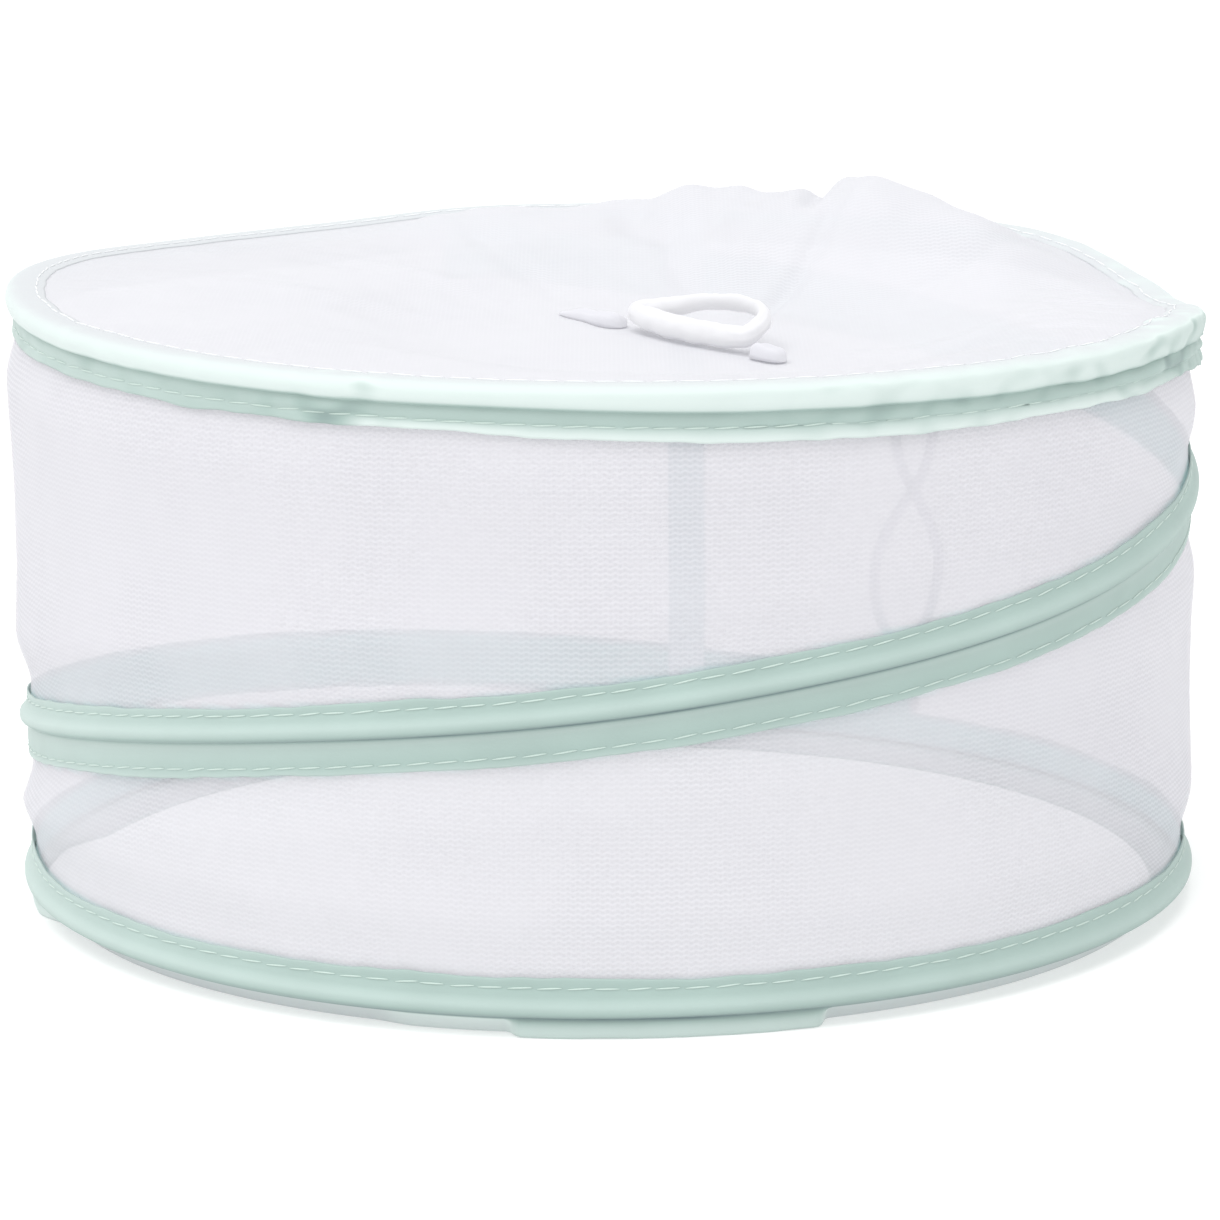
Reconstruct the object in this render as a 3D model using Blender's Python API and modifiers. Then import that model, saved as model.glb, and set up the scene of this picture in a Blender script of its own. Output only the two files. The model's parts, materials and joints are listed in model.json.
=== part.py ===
"""Pop-up mesh food cover: a drum of knitted mesh that a sprung wire coil holds open.

The cover is a side wall of mesh and a slack round top panel. Three wires spread it: a hoop at the top, a hoop
at the bottom and a coil that climbs between them in a little more than one turn. A folded tape casing is sewn
over each wire. A loop of rolled tape on the top panel is the handle, and an elastic loop inside the front wall
holds the cover shut once it is pressed flat.

Angles are measured from the front (-Y) towards +X. Every round piece shares one angular step, so that
neighbouring facets run side by side and keep their gap.
"""

import math

import bmesh
import bpy
from mathutils import Matrix, Vector

# Driving dimensions, in metres
HOOP_RADIUS = 0.1725            # centre line of the wire in both hoops
WALL_HEIGHT = 0.1672            # from the bottom hoop's wire to the middle of the top hoop's wire
TOP_DROP_FRONT = 0.0030         # the top hoop sits lower at the front by this
TOP_DROP_RIGHT = 0.0022         # and lower at the right by this
TOP_WARP = 0.0070               # the sprung top hoop dips by this at the right, where it was folded
WIRE_DIAMETER = 0.0020
MESH_THICKNESS = 0.0005
TAPE_THICKNESS = 0.0005
SEAM_GAP = 0.0003               # between two pieces sewn or slid together
SKIRT_HEIGHT = 0.0079           # from the flat hem to the bottom hoop's wire

# Angular layout, in steps round the drum
STEPS_PER_TURN = 60
COIL_FIRST_STEP = -36           # the coil's lower end
COIL_LAST_STEP = 33             # the coil's upper end
FERRULE_STEP = -22              # both hoops' wires are joined within this step
SEAM_STEP = 28                  # the wall's sewn joint runs up the back within this step

# Casing tapes
CASING_RISE = 0.0081            # coil tape above its wire
CASING_FALL = 0.0114            # coil tape below its wire
HEM_RISE = 0.0085               # bottom tape above its wire
BRIM_FALL = 0.0098              # top tape below its wire
BRIM_WIDTH = 0.0095             # top tape inwards over the panel
CREASE_FALL = 0.0024            # the tape tucks in this far below the wire
ROLL_RISE = 0.0050              # the roll round the wire starts this far above it
ROLL_SLACK = 0.0001             # the roll is looser than the wire by this
HEM_TUCK = 0.0080               # the hem turns in this far before it meets the table
HEM_FOOT = 0.0022               # flat width that lies on the table
LAP_STEP = 0.0008               # where the coil's tape laps over a hoop's tape it stands out by this
LAP_RAMP = 0.0060               # height over which it steps out
LAP_MARGIN = 0.0015
END_RISE = 0.0034               # least width of tape beside the wire at the coil's ends

# Joining pieces on the wires
FERRULE_WALL = 0.00035
FERRULE_SHARE = 0.88            # of one step's chord
BUTT_GAP = 0.0005               # between a hoop wire's two ends, inside the ferrule
TIP_START_SHARE = 0.62          # of the coil's last step, where the wire's tip cover starts
TIP_END_SHARE = 0.90

# Mesh wall and panel
WALL_ROWS = 8
PANEL_RINGS = 9
WALL_BOW = 0.0018               # the wall draws in by this midway between two wires
WALL_BOW_SPAN = 0.0600          # bays shorter than this draw in less
PINCH_DEPTH = 0.0034            # deeper tuck at the right, under the top hoop
PINCH_ANGLE = 96.0
PINCH_SPREAD = 16.0
PANEL_LOFT = 0.0220             # height of the panel's tallest fold over the hoop's plane
PANEL_SAG = 0.0090              # the panel hangs this far below the hoop's plane at the handle
SEAM_TAPE_WIDTH = 0.0120

# Handle
HANDLE_X = 0.0180               # middle of the handle on the panel
HANDLE_Y = -0.0375
HANDLE_TURN = -42.0             # degrees, seen from above
HANDLE_SLOPE = -4.0             # degrees, its right end is lower
HANDLE_LEAN = 20.0              # degrees, the loop lies back and stands this far off the panel
GRIP_LENGTH = 0.0420            # centre line of the rolled loop
GRIP_DEPTH = 0.0163
GRIP_ROLL = 0.0070              # thickness of the front of the loop
GRIP_OFFSET = 0.0075            # the loop lies right of the handle's middle by this
GRIP_CLEARANCE = 0.0005
LEFT_TAB_LENGTH = 0.0250
RIGHT_TAB_LENGTH = 0.0110
TAB_WIDTH = 0.0100
TAB_HEIGHT = 0.0046
TAB_TIP_HEIGHT = 0.0008
SEAT_RADIUS = 0.0600            # the panel is flat this far round the handle
SEAT_FADE = 0.0550

# Closing loop, inside the front wall
LOOP_ANGLE = 29.0
LOOP_DROP = 0.0580
LOOP_WIDTH = 0.0210             # across its widest part, centre line
LOOP_LEAN = 5.0                 # degrees, it hangs away from the wall
ELASTIC_WIDTH = 0.0026
ELASTIC_THICKNESS = 0.0010
CROSSING_GAP = 0.0020           # between the two legs where they cross, centre to centre
PATCH_WIDTH = 0.0160
PATCH_HEIGHT = 0.0080
PATCH_THICKNESS = 0.0008
PATCH_GAP = 0.0011
PATCH_TOP_DROP = 0.0035         # below the top hoop's wire

# The coil's climb: share of its turn against share of its rise
COIL_CLIMB_SHARES = ((0.0, 0.0), (0.07, 0.055), (0.16, 0.122), (0.25, 0.170), (0.335, 0.243), (0.42, 0.345),
                     (0.54, 0.481), (0.63, 0.570), (0.72, 0.672), (0.86, 0.835), (1.0, 1.0))

# Warp of the sprung top hoop: angle in degrees against rise, as a share of the warp's depth
TOP_WARP_SHARES = ((-180.0, 0.10), (-165.0, 0.0), (-148.0, -0.40), (-128.0, -0.40), (-108.0, 0.0), (-90.0, 0.26),
                   (-60.0, 0.10), (-30.0, 0.0), (0.0, 0.0), (45.0, 0.0), (72.0, -0.05), (86.0, -0.50),
                   (98.0, -1.0), (110.0, -0.55), (122.0, 0.15), (135.0, 0.38), (155.0, 0.25), (180.0, 0.10))

# Folds of the slack panel: place, spread and height, as shares of the hoop's radius and of the loft
PANEL_FOLD_SHARES = ((0.48, 0.50, 0.14, 0.98), (0.17, 0.74, 0.13, 0.66), (0.78, 0.34, 0.14, 0.62),
                     (-0.25, 0.74, 0.15, 0.32), (-0.66, 0.46, 0.16, 0.08))

# Outline of the handle's rolled loop, from the right end round the far side: place along the seam as a share
# of half the length, depth as a share of the loop's depth, and thickness as a share of the roll
GRIP_SHARES = ((1.0, 0.10, 0.86), (0.94, 0.58, 0.78), (0.66, 0.93, 0.72), (0.22, 1.0, 0.70), (-0.22, 0.84, 0.72),
               (-0.62, 0.50, 0.78), (-0.94, 0.20, 0.86), (-0.90, -0.02, 0.92), (-0.45, -0.10, 1.0),
               (0.0, -0.14, 1.0), (0.50, -0.10, 0.98), (0.88, -0.03, 0.92))

# Outline of the closing loop: sideways place and drop, as shares of its width and length
LOOP_SHARES = ((-0.26, 0.0), (-0.20, 0.10), (-0.08, 0.20), (0.12, 0.32), (0.34, 0.45), (0.48, 0.60), (0.46, 0.76),
               (0.32, 0.91), (0.06, 1.0), (-0.22, 0.95), (-0.42, 0.82), (-0.50, 0.66), (-0.42, 0.50),
               (-0.20, 0.36), (0.06, 0.24), (0.20, 0.11), (0.26, 0.0))

# Sizes that follow from the ones above
STEP_ANGLE = 360.0 / STEPS_PER_TURN
WIRE_RADIUS = WIRE_DIAMETER / 2
ROLL_RADIUS = WIRE_RADIUS + SEAM_GAP + TAPE_THICKNESS / 2 + ROLL_SLACK
WALL_OFFSET = -(WIRE_RADIUS + SEAM_GAP + MESH_THICKNESS / 2)
FLANGE_OFFSET = WALL_OFFSET + MESH_THICKNESS / 2 + SEAM_GAP + TAPE_THICKNESS / 2
FERRULE_BORE_RADIUS = WIRE_RADIUS + SEAM_GAP
PANEL_RISE = FERRULE_BORE_RADIUS + FERRULE_WALL + SEAM_GAP + MESH_THICKNESS / 2
BRIM_RISE = PANEL_RISE + MESH_THICKNESS / 2 + SEAM_GAP + TAPE_THICKNESS / 2
SKIRT_FLOOR = SKIRT_HEIGHT - TAPE_THICKNESS / 2
COIL_START_HEIGHT = SKIRT_HEIGHT + ROLL_RISE + TAPE_THICKNESS + END_RISE
TOP_LAP_CLEARANCE = CREASE_FALL + TAPE_THICKNESS / 2 + SEAM_GAP


def smooth_step(value: float) -> float:
    """Eases from 0 to 1 as value goes from 0 to 1."""
    value = min(max(value, 0.0), 1.0)
    return value * value * (3 - 2 * value)


def share_at(shares: tuple, value: float) -> float:
    """Reads a smooth curve through a table of shares, by a cubic with averaged slopes."""
    slopes = []
    for index in range(len(shares)):
        low, high = shares[max(index - 1, 0)], shares[min(index + 1, len(shares) - 1)]
        slopes.append((high[1] - low[1]) / (high[0] - low[0]))
    index = 0
    while index < len(shares) - 2 and value > shares[index + 1][0]:
        index += 1
    (x0, y0), (x1, y1) = shares[index], shares[index + 1]
    span = x1 - x0
    t = (value - x0) / span
    return ((2 * t ** 3 - 3 * t ** 2 + 1) * y0 + (t ** 3 - 2 * t ** 2 + t) * span * slopes[index]
            + (3 * t ** 2 - 2 * t ** 3) * y1 + (t ** 3 - t ** 2) * span * slopes[index + 1])


def place(angle: float, radius: float, height: float) -> Vector:
    """A point on the drum, its angle in degrees from the front towards +X."""
    turn = math.radians(angle)
    return Vector((radius * math.sin(turn), -radius * math.cos(turn), height))


def hoop_plane(x: float, y: float) -> float:
    """Height of the top hoop's wire plane over a point."""
    middle = SKIRT_HEIGHT + WALL_HEIGHT
    return middle + (TOP_DROP_FRONT * y - TOP_DROP_RIGHT * x) / HOOP_RADIUS


def hoop_warp(angle: float) -> float:
    """Rise of the top hoop's wire over its plane at an angle."""
    return TOP_WARP * share_at(TOP_WARP_SHARES, (angle + 180) % 360 - 180)


def top_height(angle: float) -> float:
    """Height of the top hoop's wire at an angle."""
    point = place(angle, HOOP_RADIUS, 0)
    return hoop_plane(point.x, point.y) + hoop_warp(angle)


COIL_END_HEIGHT = top_height(COIL_LAST_STEP * STEP_ANGLE) - TOP_LAP_CLEARANCE - END_RISE


def coil_height(step: float) -> float:
    """Height of the coil's wire at a step of its climb."""
    share = (step - COIL_FIRST_STEP) / (COIL_LAST_STEP - COIL_FIRST_STEP)
    return COIL_START_HEIGHT + (COIL_END_HEIGHT - COIL_START_HEIGHT) * share_at(COIL_CLIMB_SHARES, share)


def coil_tape_reach(step: int) -> tuple:
    """How far the coil's tape reaches above and below its wire, cut short where it laps a hoop's roll."""
    height = coil_height(step)
    rise = min(CASING_RISE, top_height(step * STEP_ANGLE) - TOP_LAP_CLEARANCE - height)
    fall = min(CASING_FALL, height - SKIRT_HEIGHT - ROLL_RISE - TAPE_THICKNESS)
    return rise, fall


def coil_step_out(step: int) -> float:
    """How far the coil stands out where its tape laps over a hoop's tape."""
    height = coil_height(step)
    to_top = top_height(step * STEP_ANGLE) - BRIM_FALL - (height + CASING_RISE)
    to_hem = height - CASING_FALL - (SKIRT_HEIGHT + HEM_RISE)
    nearest = min(to_top, to_hem)
    return LAP_STEP * smooth_step((LAP_MARGIN + LAP_RAMP - nearest) / LAP_RAMP)


def coil_passes(step: int) -> list:
    """The heights at which the coil crosses an angle of the drum, lowest first."""
    passes = []
    for turn in (-STEPS_PER_TURN, 0, STEPS_PER_TURN):
        if COIL_FIRST_STEP <= step + turn <= COIL_LAST_STEP:
            passes.append(coil_height(step + turn))
    return sorted(passes)


def ferrule_room(step: int) -> float:
    """Extra room that the casing and the wall leave round the ferrule."""
    return FERRULE_WALL if step in (FERRULE_STEP, FERRULE_STEP + 1) else 0.0


def wall_radius(step: int, height: float) -> float:
    """Radius of the wall's middle surface: against the wires it is held out, and between them it draws in."""
    angle = step * STEP_ANGLE
    edges = [SKIRT_HEIGHT + HEM_RISE]
    for crossing in coil_passes(step):
        edges += [crossing - CASING_FALL, crossing + CASING_RISE]
    edges.append(top_height(angle) - BRIM_FALL)
    bow = 0.0
    for low, high in zip(edges[0::2], edges[1::2]):
        if low < height < high:
            depth = WALL_BOW * smooth_step((high - low) / WALL_BOW_SPAN)
            if high == edges[-1]:
                away = (angle - PINCH_ANGLE) / PINCH_SPREAD
                depth += PINCH_DEPTH * math.exp(-away * away)
            bow = depth * math.sin(math.pi * (height - low) / (high - low))
    return HOOP_RADIUS + WALL_OFFSET - ferrule_room(step) - bow


def wall_row_height(step: int, row: int) -> float:
    """Height of one row of the wall's surface, which runs from the hem's fold to the top hoop."""
    low = SKIRT_HEIGHT - CREASE_FALL + TAPE_THICKNESS
    high = top_height(step * STEP_ANGLE) + WIRE_RADIUS - SEAM_GAP / 2
    return low + (high - low) * row / WALL_ROWS


def seat_height(x: float, y: float) -> float:
    """Height of the flat patch of panel under the handle, as a plane through the handle's middle."""
    along = ((x - HANDLE_X) * math.cos(math.radians(HANDLE_TURN))
             + (y - HANDLE_Y) * math.sin(math.radians(HANDLE_TURN)))
    middle = hoop_plane(HANDLE_X, HANDLE_Y) + PANEL_RISE - PANEL_SAG
    return middle + along * math.tan(math.radians(HANDLE_SLOPE))


def panel_height(x: float, y: float) -> float:
    """Height of the slack panel's middle surface: a flat rim, a dip at the handle and soft folds behind it."""
    reach = math.hypot(x, y)
    edge = smooth_step(reach / (HOOP_RADIUS - BRIM_WIDTH))
    base = hoop_plane(x, y) + PANEL_RISE + edge * hoop_warp(math.degrees(math.atan2(x, -y)))
    loose = smooth_step((HOOP_RADIUS - BRIM_WIDTH - reach) / (HOOP_RADIUS * 0.22))
    folds = 0.0
    for across, back, spread, height in PANEL_FOLD_SHARES:
        away = math.hypot(x - across * HOOP_RADIUS, y - back * HOOP_RADIUS) / (spread * HOOP_RADIUS)
        folds += height * math.exp(-away * away / 2)
    away = math.hypot(x - HANDLE_X, y - HANDLE_Y)
    seated = smooth_step((SEAT_RADIUS + SEAT_FADE - away) / SEAT_FADE)
    free = base + loose * folds * PANEL_LOFT
    return free + (seat_height(x, y) - free) * seated


def clear_scene() -> None:
    """Empties the scene."""
    for item in list(bpy.data.objects):
        bpy.data.objects.remove(item, do_unlink=True)


def material(name: str, colour: tuple, roughness: float, metallic: float = 0.0) -> bpy.types.Material:
    """A Principled material."""
    made = bpy.data.materials.new(name)
    made.use_nodes = True
    shader = made.node_tree.nodes["Principled BSDF"]
    shader.inputs["Base Color"].default_value = (*colour, 1)
    shader.inputs["Roughness"].default_value = roughness
    shader.inputs["Metallic"].default_value = metallic
    return made


def add_object(name: str, data: bpy.types.ID, finish: bpy.types.Material) -> bpy.types.Object:
    """Adds an object with its material to the cover's collection."""
    made = bpy.data.objects.new(name, data)
    data.materials.append(finish)
    bpy.data.collections["mesh_food_cover"].objects.link(made)
    return made


def loft_sheet(name: str, sections: list, thickness: float, finish: bpy.types.Material, round_trip: bool = False,
               tubular: bool = False) -> bpy.types.Object:
    """Sweeps a line of points through its sections and gives the surface its thickness.

    round_trip joins the last section to the first, and tubular joins each section's ends.
    """
    shape = bmesh.new()
    row = [shape.verts.new(point) for point in sections[0]]
    edges = [shape.edges.new(pair) for pair in zip(row, row[1:])]
    if tubular:
        edges.append(shape.edges.new((row[-1], row[0])))
    for section in sections[1:] + (sections[:1] if round_trip else []):
        grown = bmesh.ops.extrude_edge_only(shape, edges=edges)["geom"]
        follower = {}
        for old in row:
            for edge in old.link_edges:
                other = edge.other_vert(old)
                if other in grown:
                    follower[old] = other
        row = [follower[old] for old in row]
        for vertex, point in zip(row, section):
            vertex.co = point
        edges = [item for item in grown if isinstance(item, bmesh.types.BMEdge)
                 and item.verts[0] in row and item.verts[1] in row]
    if round_trip:
        bmesh.ops.remove_doubles(shape, verts=shape.verts, dist=SEAM_GAP / 100)
    bmesh.ops.recalc_face_normals(shape, faces=shape.faces)
    data = bpy.data.meshes.new(name)
    shape.to_mesh(data)
    shape.free()
    made = add_object(name, data, finish)
    wall = made.modifiers.new("thickness", "SOLIDIFY")
    wall.thickness = thickness
    wall.offset = 0
    wall.use_even_offset = True
    data.shade_smooth()
    data.set_sharp_from_angle(angle=math.radians(50))
    return made


def round_wire(name: str, points: list, radius: float, finish: bpy.types.Material) -> bpy.types.Object:
    """A round wire along a run of points, closed at both ends."""
    data = bpy.data.curves.new(name, "CURVE")
    data.dimensions = "3D"
    data.bevel_depth = radius
    data.bevel_resolution = 2
    data.use_fill_caps = True
    run = data.splines.new("POLY")
    run.points.add(len(points) - 1)
    for target, point in zip(run.points, points):
        target.co = (*point, 1)
    run.use_smooth = True
    return add_object(name, data, finish)


def hoop_points(height) -> list:
    """The corners of a hoop's wire, from one end in the ferrule right round to the other."""
    corners = [place(step * STEP_ANGLE, HOOP_RADIUS, height(step * STEP_ANGLE))
               for step in range(FERRULE_STEP + 1, FERRULE_STEP + STEPS_PER_TURN + 1)]
    middle = (corners[0] + corners[-1]) / 2
    lead = (corners[0] - corners[-1]).normalized() * BUTT_GAP / 2
    return [middle + lead] + corners + [middle - lead]


def ferrule(name: str, height, finish: bpy.types.Material) -> bpy.types.Object:
    """The crimped sleeve that joins a hoop wire's two ends, straight along one step of the hoop."""
    first = place(FERRULE_STEP * STEP_ANGLE, HOOP_RADIUS, height(FERRULE_STEP * STEP_ANGLE))
    last = place((FERRULE_STEP + 1) * STEP_ANGLE, HOOP_RADIUS, height((FERRULE_STEP + 1) * STEP_ANGLE))
    middle, half = (first + last) / 2, (last - first) * FERRULE_SHARE / 2
    outward = Vector((middle.x, middle.y, 0)).normalized()
    across = half.cross(outward).normalized()
    radius = FERRULE_BORE_RADIUS + FERRULE_WALL / 2
    sides = 12
    sections = []
    for end in (middle - half, middle + half):
        sections.append([end + (outward * math.cos(math.tau * side / sides)
                                + across * math.sin(math.tau * side / sides)) * radius for side in range(sides)])
    return loft_sheet(name, sections, FERRULE_WALL, finish, tubular=True)


def roll_profile(rise: float, room: float = 0.0) -> list:
    """The tape from its upper edge down over the wire's roll, as (outward, upward) places from the wire."""
    outer = ROLL_RADIUS + room
    swell = ROLL_RISE / 2 + room
    knee = swell + (rise - swell) * (ROLL_RISE - swell) / (CASING_RISE - swell)
    return [(FLANGE_OFFSET, rise), (FLANGE_OFFSET, knee), (outer * 0.1, swell), (outer * 0.82, outer * 0.74),
            (outer, 0.0), (outer * 0.82, -outer * 0.70)]


def casing_section(angle: float, radius: float, height: float, profile: list) -> list:
    """Puts a tape's profile on the drum."""
    return [place(angle, radius + outward, height + upward) for outward, upward in profile]


def coil_casing(finish: bpy.types.Material) -> bpy.types.Object:
    """The tape sewn over the coil's wire, with its roll, its crease and its two flat edges."""
    sections = []
    for step in range(COIL_FIRST_STEP, COIL_LAST_STEP + 1):
        rise, fall = coil_tape_reach(step)
        profile = roll_profile(rise) + [(FLANGE_OFFSET, -CREASE_FALL),
                                        (FLANGE_OFFSET, -(CREASE_FALL + fall) / 2),
                                        (FLANGE_OFFSET, -fall)]
        sections.append(casing_section(step * STEP_ANGLE, HOOP_RADIUS + coil_step_out(step), coil_height(step),
                                       profile))
    return loft_sheet("coil_casing_tape", sections, TAPE_THICKNESS, finish)


def top_casing(finish: bpy.types.Material) -> bpy.types.Object:
    """The tape over the top hoop: its brim lies on the panel and its edge hangs down the wall."""
    sections = []
    for step in range(STEPS_PER_TURN):
        centred = step if step <= STEPS_PER_TURN / 2 else step - STEPS_PER_TURN
        room = ferrule_room(centred)
        outer = ROLL_RADIUS + room
        profile = [(-BRIM_WIDTH, BRIM_RISE), (-BRIM_WIDTH / 2, BRIM_RISE), (-WIRE_RADIUS / 2, BRIM_RISE),
                   (outer * 0.62, outer * 1.12),
                   (outer, outer * 0.45), (outer, -outer * 0.25), (outer * 0.78, -outer * 0.74),
                   (FLANGE_OFFSET, -CREASE_FALL), (FLANGE_OFFSET, -(CREASE_FALL + BRIM_FALL) / 2),
                   (FLANGE_OFFSET, -BRIM_FALL)]
        angle = step * STEP_ANGLE
        sections.append(casing_section(angle, HOOP_RADIUS, top_height(angle), profile))
    return loft_sheet("top_casing_tape", sections, TAPE_THICKNESS, finish, round_trip=True)


def skirt_share(angle: float) -> float:
    """How far the hem hangs straight instead of turning in: at the front, and at the left end."""
    front = smooth_step((24.0 - abs(angle - 3.0)) / 7.0)
    left = smooth_step((20.0 - abs(angle + 88.0)) / 8.0)
    return max(front, left)


def bottom_casing(finish: bpy.types.Material) -> bpy.types.Object:
    """The tape over the bottom hoop: its lower edge turns in under the wire and lies flat on the table."""
    tucked = ((-HEM_TUCK * 0.68, -(CREASE_FALL + SKIRT_FLOOR * 0.12)), (-HEM_TUCK, -SKIRT_FLOOR),
              (-HEM_TUCK - HEM_FOOT, -SKIRT_FLOOR))
    hanging = ((FLANGE_OFFSET * 0.6, -(CREASE_FALL + SKIRT_FLOOR) / 2), (FLANGE_OFFSET, -SKIRT_FLOOR),
               (FLANGE_OFFSET - HEM_FOOT, -SKIRT_FLOOR))
    sections = []
    for step in range(STEPS_PER_TURN):
        centred = step if step <= STEPS_PER_TURN / 2 else step - STEPS_PER_TURN
        angle = centred * STEP_ANGLE
        share = skirt_share(angle)
        edge = [(a[0] + (b[0] - a[0]) * share, a[1] + (b[1] - a[1]) * share) for a, b in zip(tucked, hanging)]
        profile = roll_profile(HEM_RISE, ferrule_room(centred)) + [(FLANGE_OFFSET, -CREASE_FALL)] + edge
        sections.append(casing_section(angle, HOOP_RADIUS, SKIRT_HEIGHT, profile))
    return loft_sheet("bottom_casing_tape", sections, TAPE_THICKNESS, finish, round_trip=True)


def side_wall(finish: bpy.types.Material) -> bpy.types.Object:
    """The mesh wall, one sheet right round."""
    sections = []
    for step in range(STEPS_PER_TURN):
        centred = step if step <= STEPS_PER_TURN / 2 else step - STEPS_PER_TURN
        heights = [wall_row_height(centred, row) for row in range(WALL_ROWS + 1)]
        sections.append([place(centred * STEP_ANGLE, wall_radius(centred, height), height) for height in heights])
    return loft_sheet("side_mesh_wall", sections, MESH_THICKNESS, finish, round_trip=True)


def seam_tape(finish: bpy.types.Material) -> bpy.types.Object:
    """The binding over the wall's sewn joint, inside the back of the wall."""
    inset = MESH_THICKNESS / 2 + SEAM_GAP + TAPE_THICKNESS / 2
    chord = 2 * HOOP_RADIUS * math.sin(math.radians(STEP_ANGLE) / 2)
    margin = (1 - SEAM_TAPE_WIDTH / chord) / 2
    sections = []
    for row in range(WALL_ROWS + 1):
        ends = []
        for step in (SEAM_STEP, SEAM_STEP + 1):
            height = wall_row_height(step, row)
            ends.append(place(step * STEP_ANGLE, wall_radius(step, height) - inset, height))
        sections.append([ends[0].lerp(ends[1], margin), ends[1].lerp(ends[0], margin)])
    return loft_sheet("back_seam_tape", sections, TAPE_THICKNESS, finish)


def top_panel(finish: bpy.types.Material) -> bpy.types.Object:
    """The slack round panel of mesh across the top hoop."""
    rim = HOOP_RADIUS - WIRE_RADIUS
    shape = bmesh.new()
    bmesh.ops.create_circle(shape, segments=STEPS_PER_TURN, radius=rim, cap_ends=False)
    bmesh.ops.rotate(shape, verts=shape.verts, matrix=Matrix.Rotation(math.radians(-90), 3, "Z"))
    edges = list(shape.edges)
    radii = [HOOP_RADIUS - BRIM_WIDTH] + [(HOOP_RADIUS - BRIM_WIDTH) * (1 - ring / PANEL_RINGS)
                                         for ring in range(1, PANEL_RINGS)]
    for radius in radii:
        grown = bmesh.ops.extrude_edge_only(shape, edges=edges)["geom"]
        inner = [item for item in grown if isinstance(item, bmesh.types.BMVert)]
        for vertex in inner:
            vertex.co = vertex.co.normalized() * radius
        edges = [item for item in grown if isinstance(item, bmesh.types.BMEdge)
                 and item.verts[0] in inner and item.verts[1] in inner]
    cap = bmesh.ops.contextual_create(shape, geom=edges)["faces"]
    bmesh.ops.poke(shape, faces=cap)
    for vertex in shape.verts:
        vertex.co.z = panel_height(vertex.co.x, vertex.co.y)
    bmesh.ops.recalc_face_normals(shape, faces=shape.faces)
    data = bpy.data.meshes.new("top_mesh_panel")
    shape.to_mesh(data)
    shape.free()
    made = add_object("top_mesh_panel", data, finish)
    wall = made.modifiers.new("thickness", "SOLIDIFY")
    wall.thickness = MESH_THICKNESS
    wall.offset = 0
    data.shade_smooth()
    return made


def build_wires(steel: bpy.types.Material, crimp: bpy.types.Material, plastic: bpy.types.Material) -> None:
    """The two hoops with their ferrules, and the coil with a cover on each tip."""
    for level, height in (("top", top_height), ("bottom", lambda angle: SKIRT_HEIGHT)):
        round_wire(f"{level}_hoop_wire", hoop_points(height), WIRE_RADIUS, steel)
        ferrule(f"{level}_hoop_ferrule", height, crimp)
    corners = [place(step * STEP_ANGLE, HOOP_RADIUS + coil_step_out(step), coil_height(step))
               for step in range(COIL_FIRST_STEP, COIL_LAST_STEP + 1)]
    for level, end, before in (("bottom", corners[0], corners[1]), ("top", corners[-1], corners[-2])):
        gap = (end - before).normalized() * SEAM_GAP
        cover = [before.lerp(end, TIP_START_SHARE) + gap, before.lerp(end, TIP_END_SHARE)]
        round_wire(f"coil_{level}_tip", cover, WIRE_RADIUS, plastic)
    corners[0] = corners[1].lerp(corners[0], TIP_START_SHARE)
    corners[-1] = corners[-2].lerp(corners[-1], TIP_START_SHARE)
    round_wire("coil_wire", corners, WIRE_RADIUS, steel)


def handle_frame() -> Matrix:
    """The handle's own axes: X along its seam to the right, Z square to the panel, origin on the panel."""
    origin = Vector((HANDLE_X, HANDLE_Y, seat_height(HANDLE_X, HANDLE_Y) + MESH_THICKNESS / 2))
    return (Matrix.Translation(origin) @ Matrix.Rotation(math.radians(HANDLE_TURN), 4, "Z")
            @ Matrix.Rotation(math.radians(-HANDLE_SLOPE), 4, "Y"))


def handle_grip(finish: bpy.types.Material) -> bpy.types.Object:
    """The rolled loop: a straight front over the seam and a bowed far side, hinged along the front."""
    front_bow = -min(depth for along, depth, roll in GRIP_SHARES) * GRIP_DEPTH
    axis_height = GRIP_ROLL / 2 + GRIP_CLEARANCE + front_bow * math.sin(math.radians(HANDLE_LEAN))
    pivot = bpy.data.objects.new("handle_pivot", None)
    bpy.data.collections["mesh_food_cover"].objects.link(pivot)
    pivot.matrix_world = (handle_frame() @ Matrix.Translation((GRIP_OFFSET, 0, axis_height))
                          @ Matrix.Rotation(math.radians(HANDLE_LEAN), 4, "X"))
    data = bpy.data.curves.new("handle_grip", "CURVE")
    data.dimensions = "3D"
    data.bevel_depth = GRIP_ROLL / 2
    data.bevel_resolution = 2
    data.resolution_u = 3
    data.render_resolution_u = 0
    run = data.splines.new("BEZIER")
    run.bezier_points.add(len(GRIP_SHARES) - 1)
    run.use_cyclic_u = True
    for target, (along, depth, roll) in zip(run.bezier_points, GRIP_SHARES):
        target.co = (along * GRIP_LENGTH / 2, depth * GRIP_DEPTH, 0)
        target.radius = roll
        target.handle_left_type = "AUTO"
        target.handle_right_type = "AUTO"
    made = add_object("handle_grip", data, finish)
    made.parent = pivot
    return made


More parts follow.
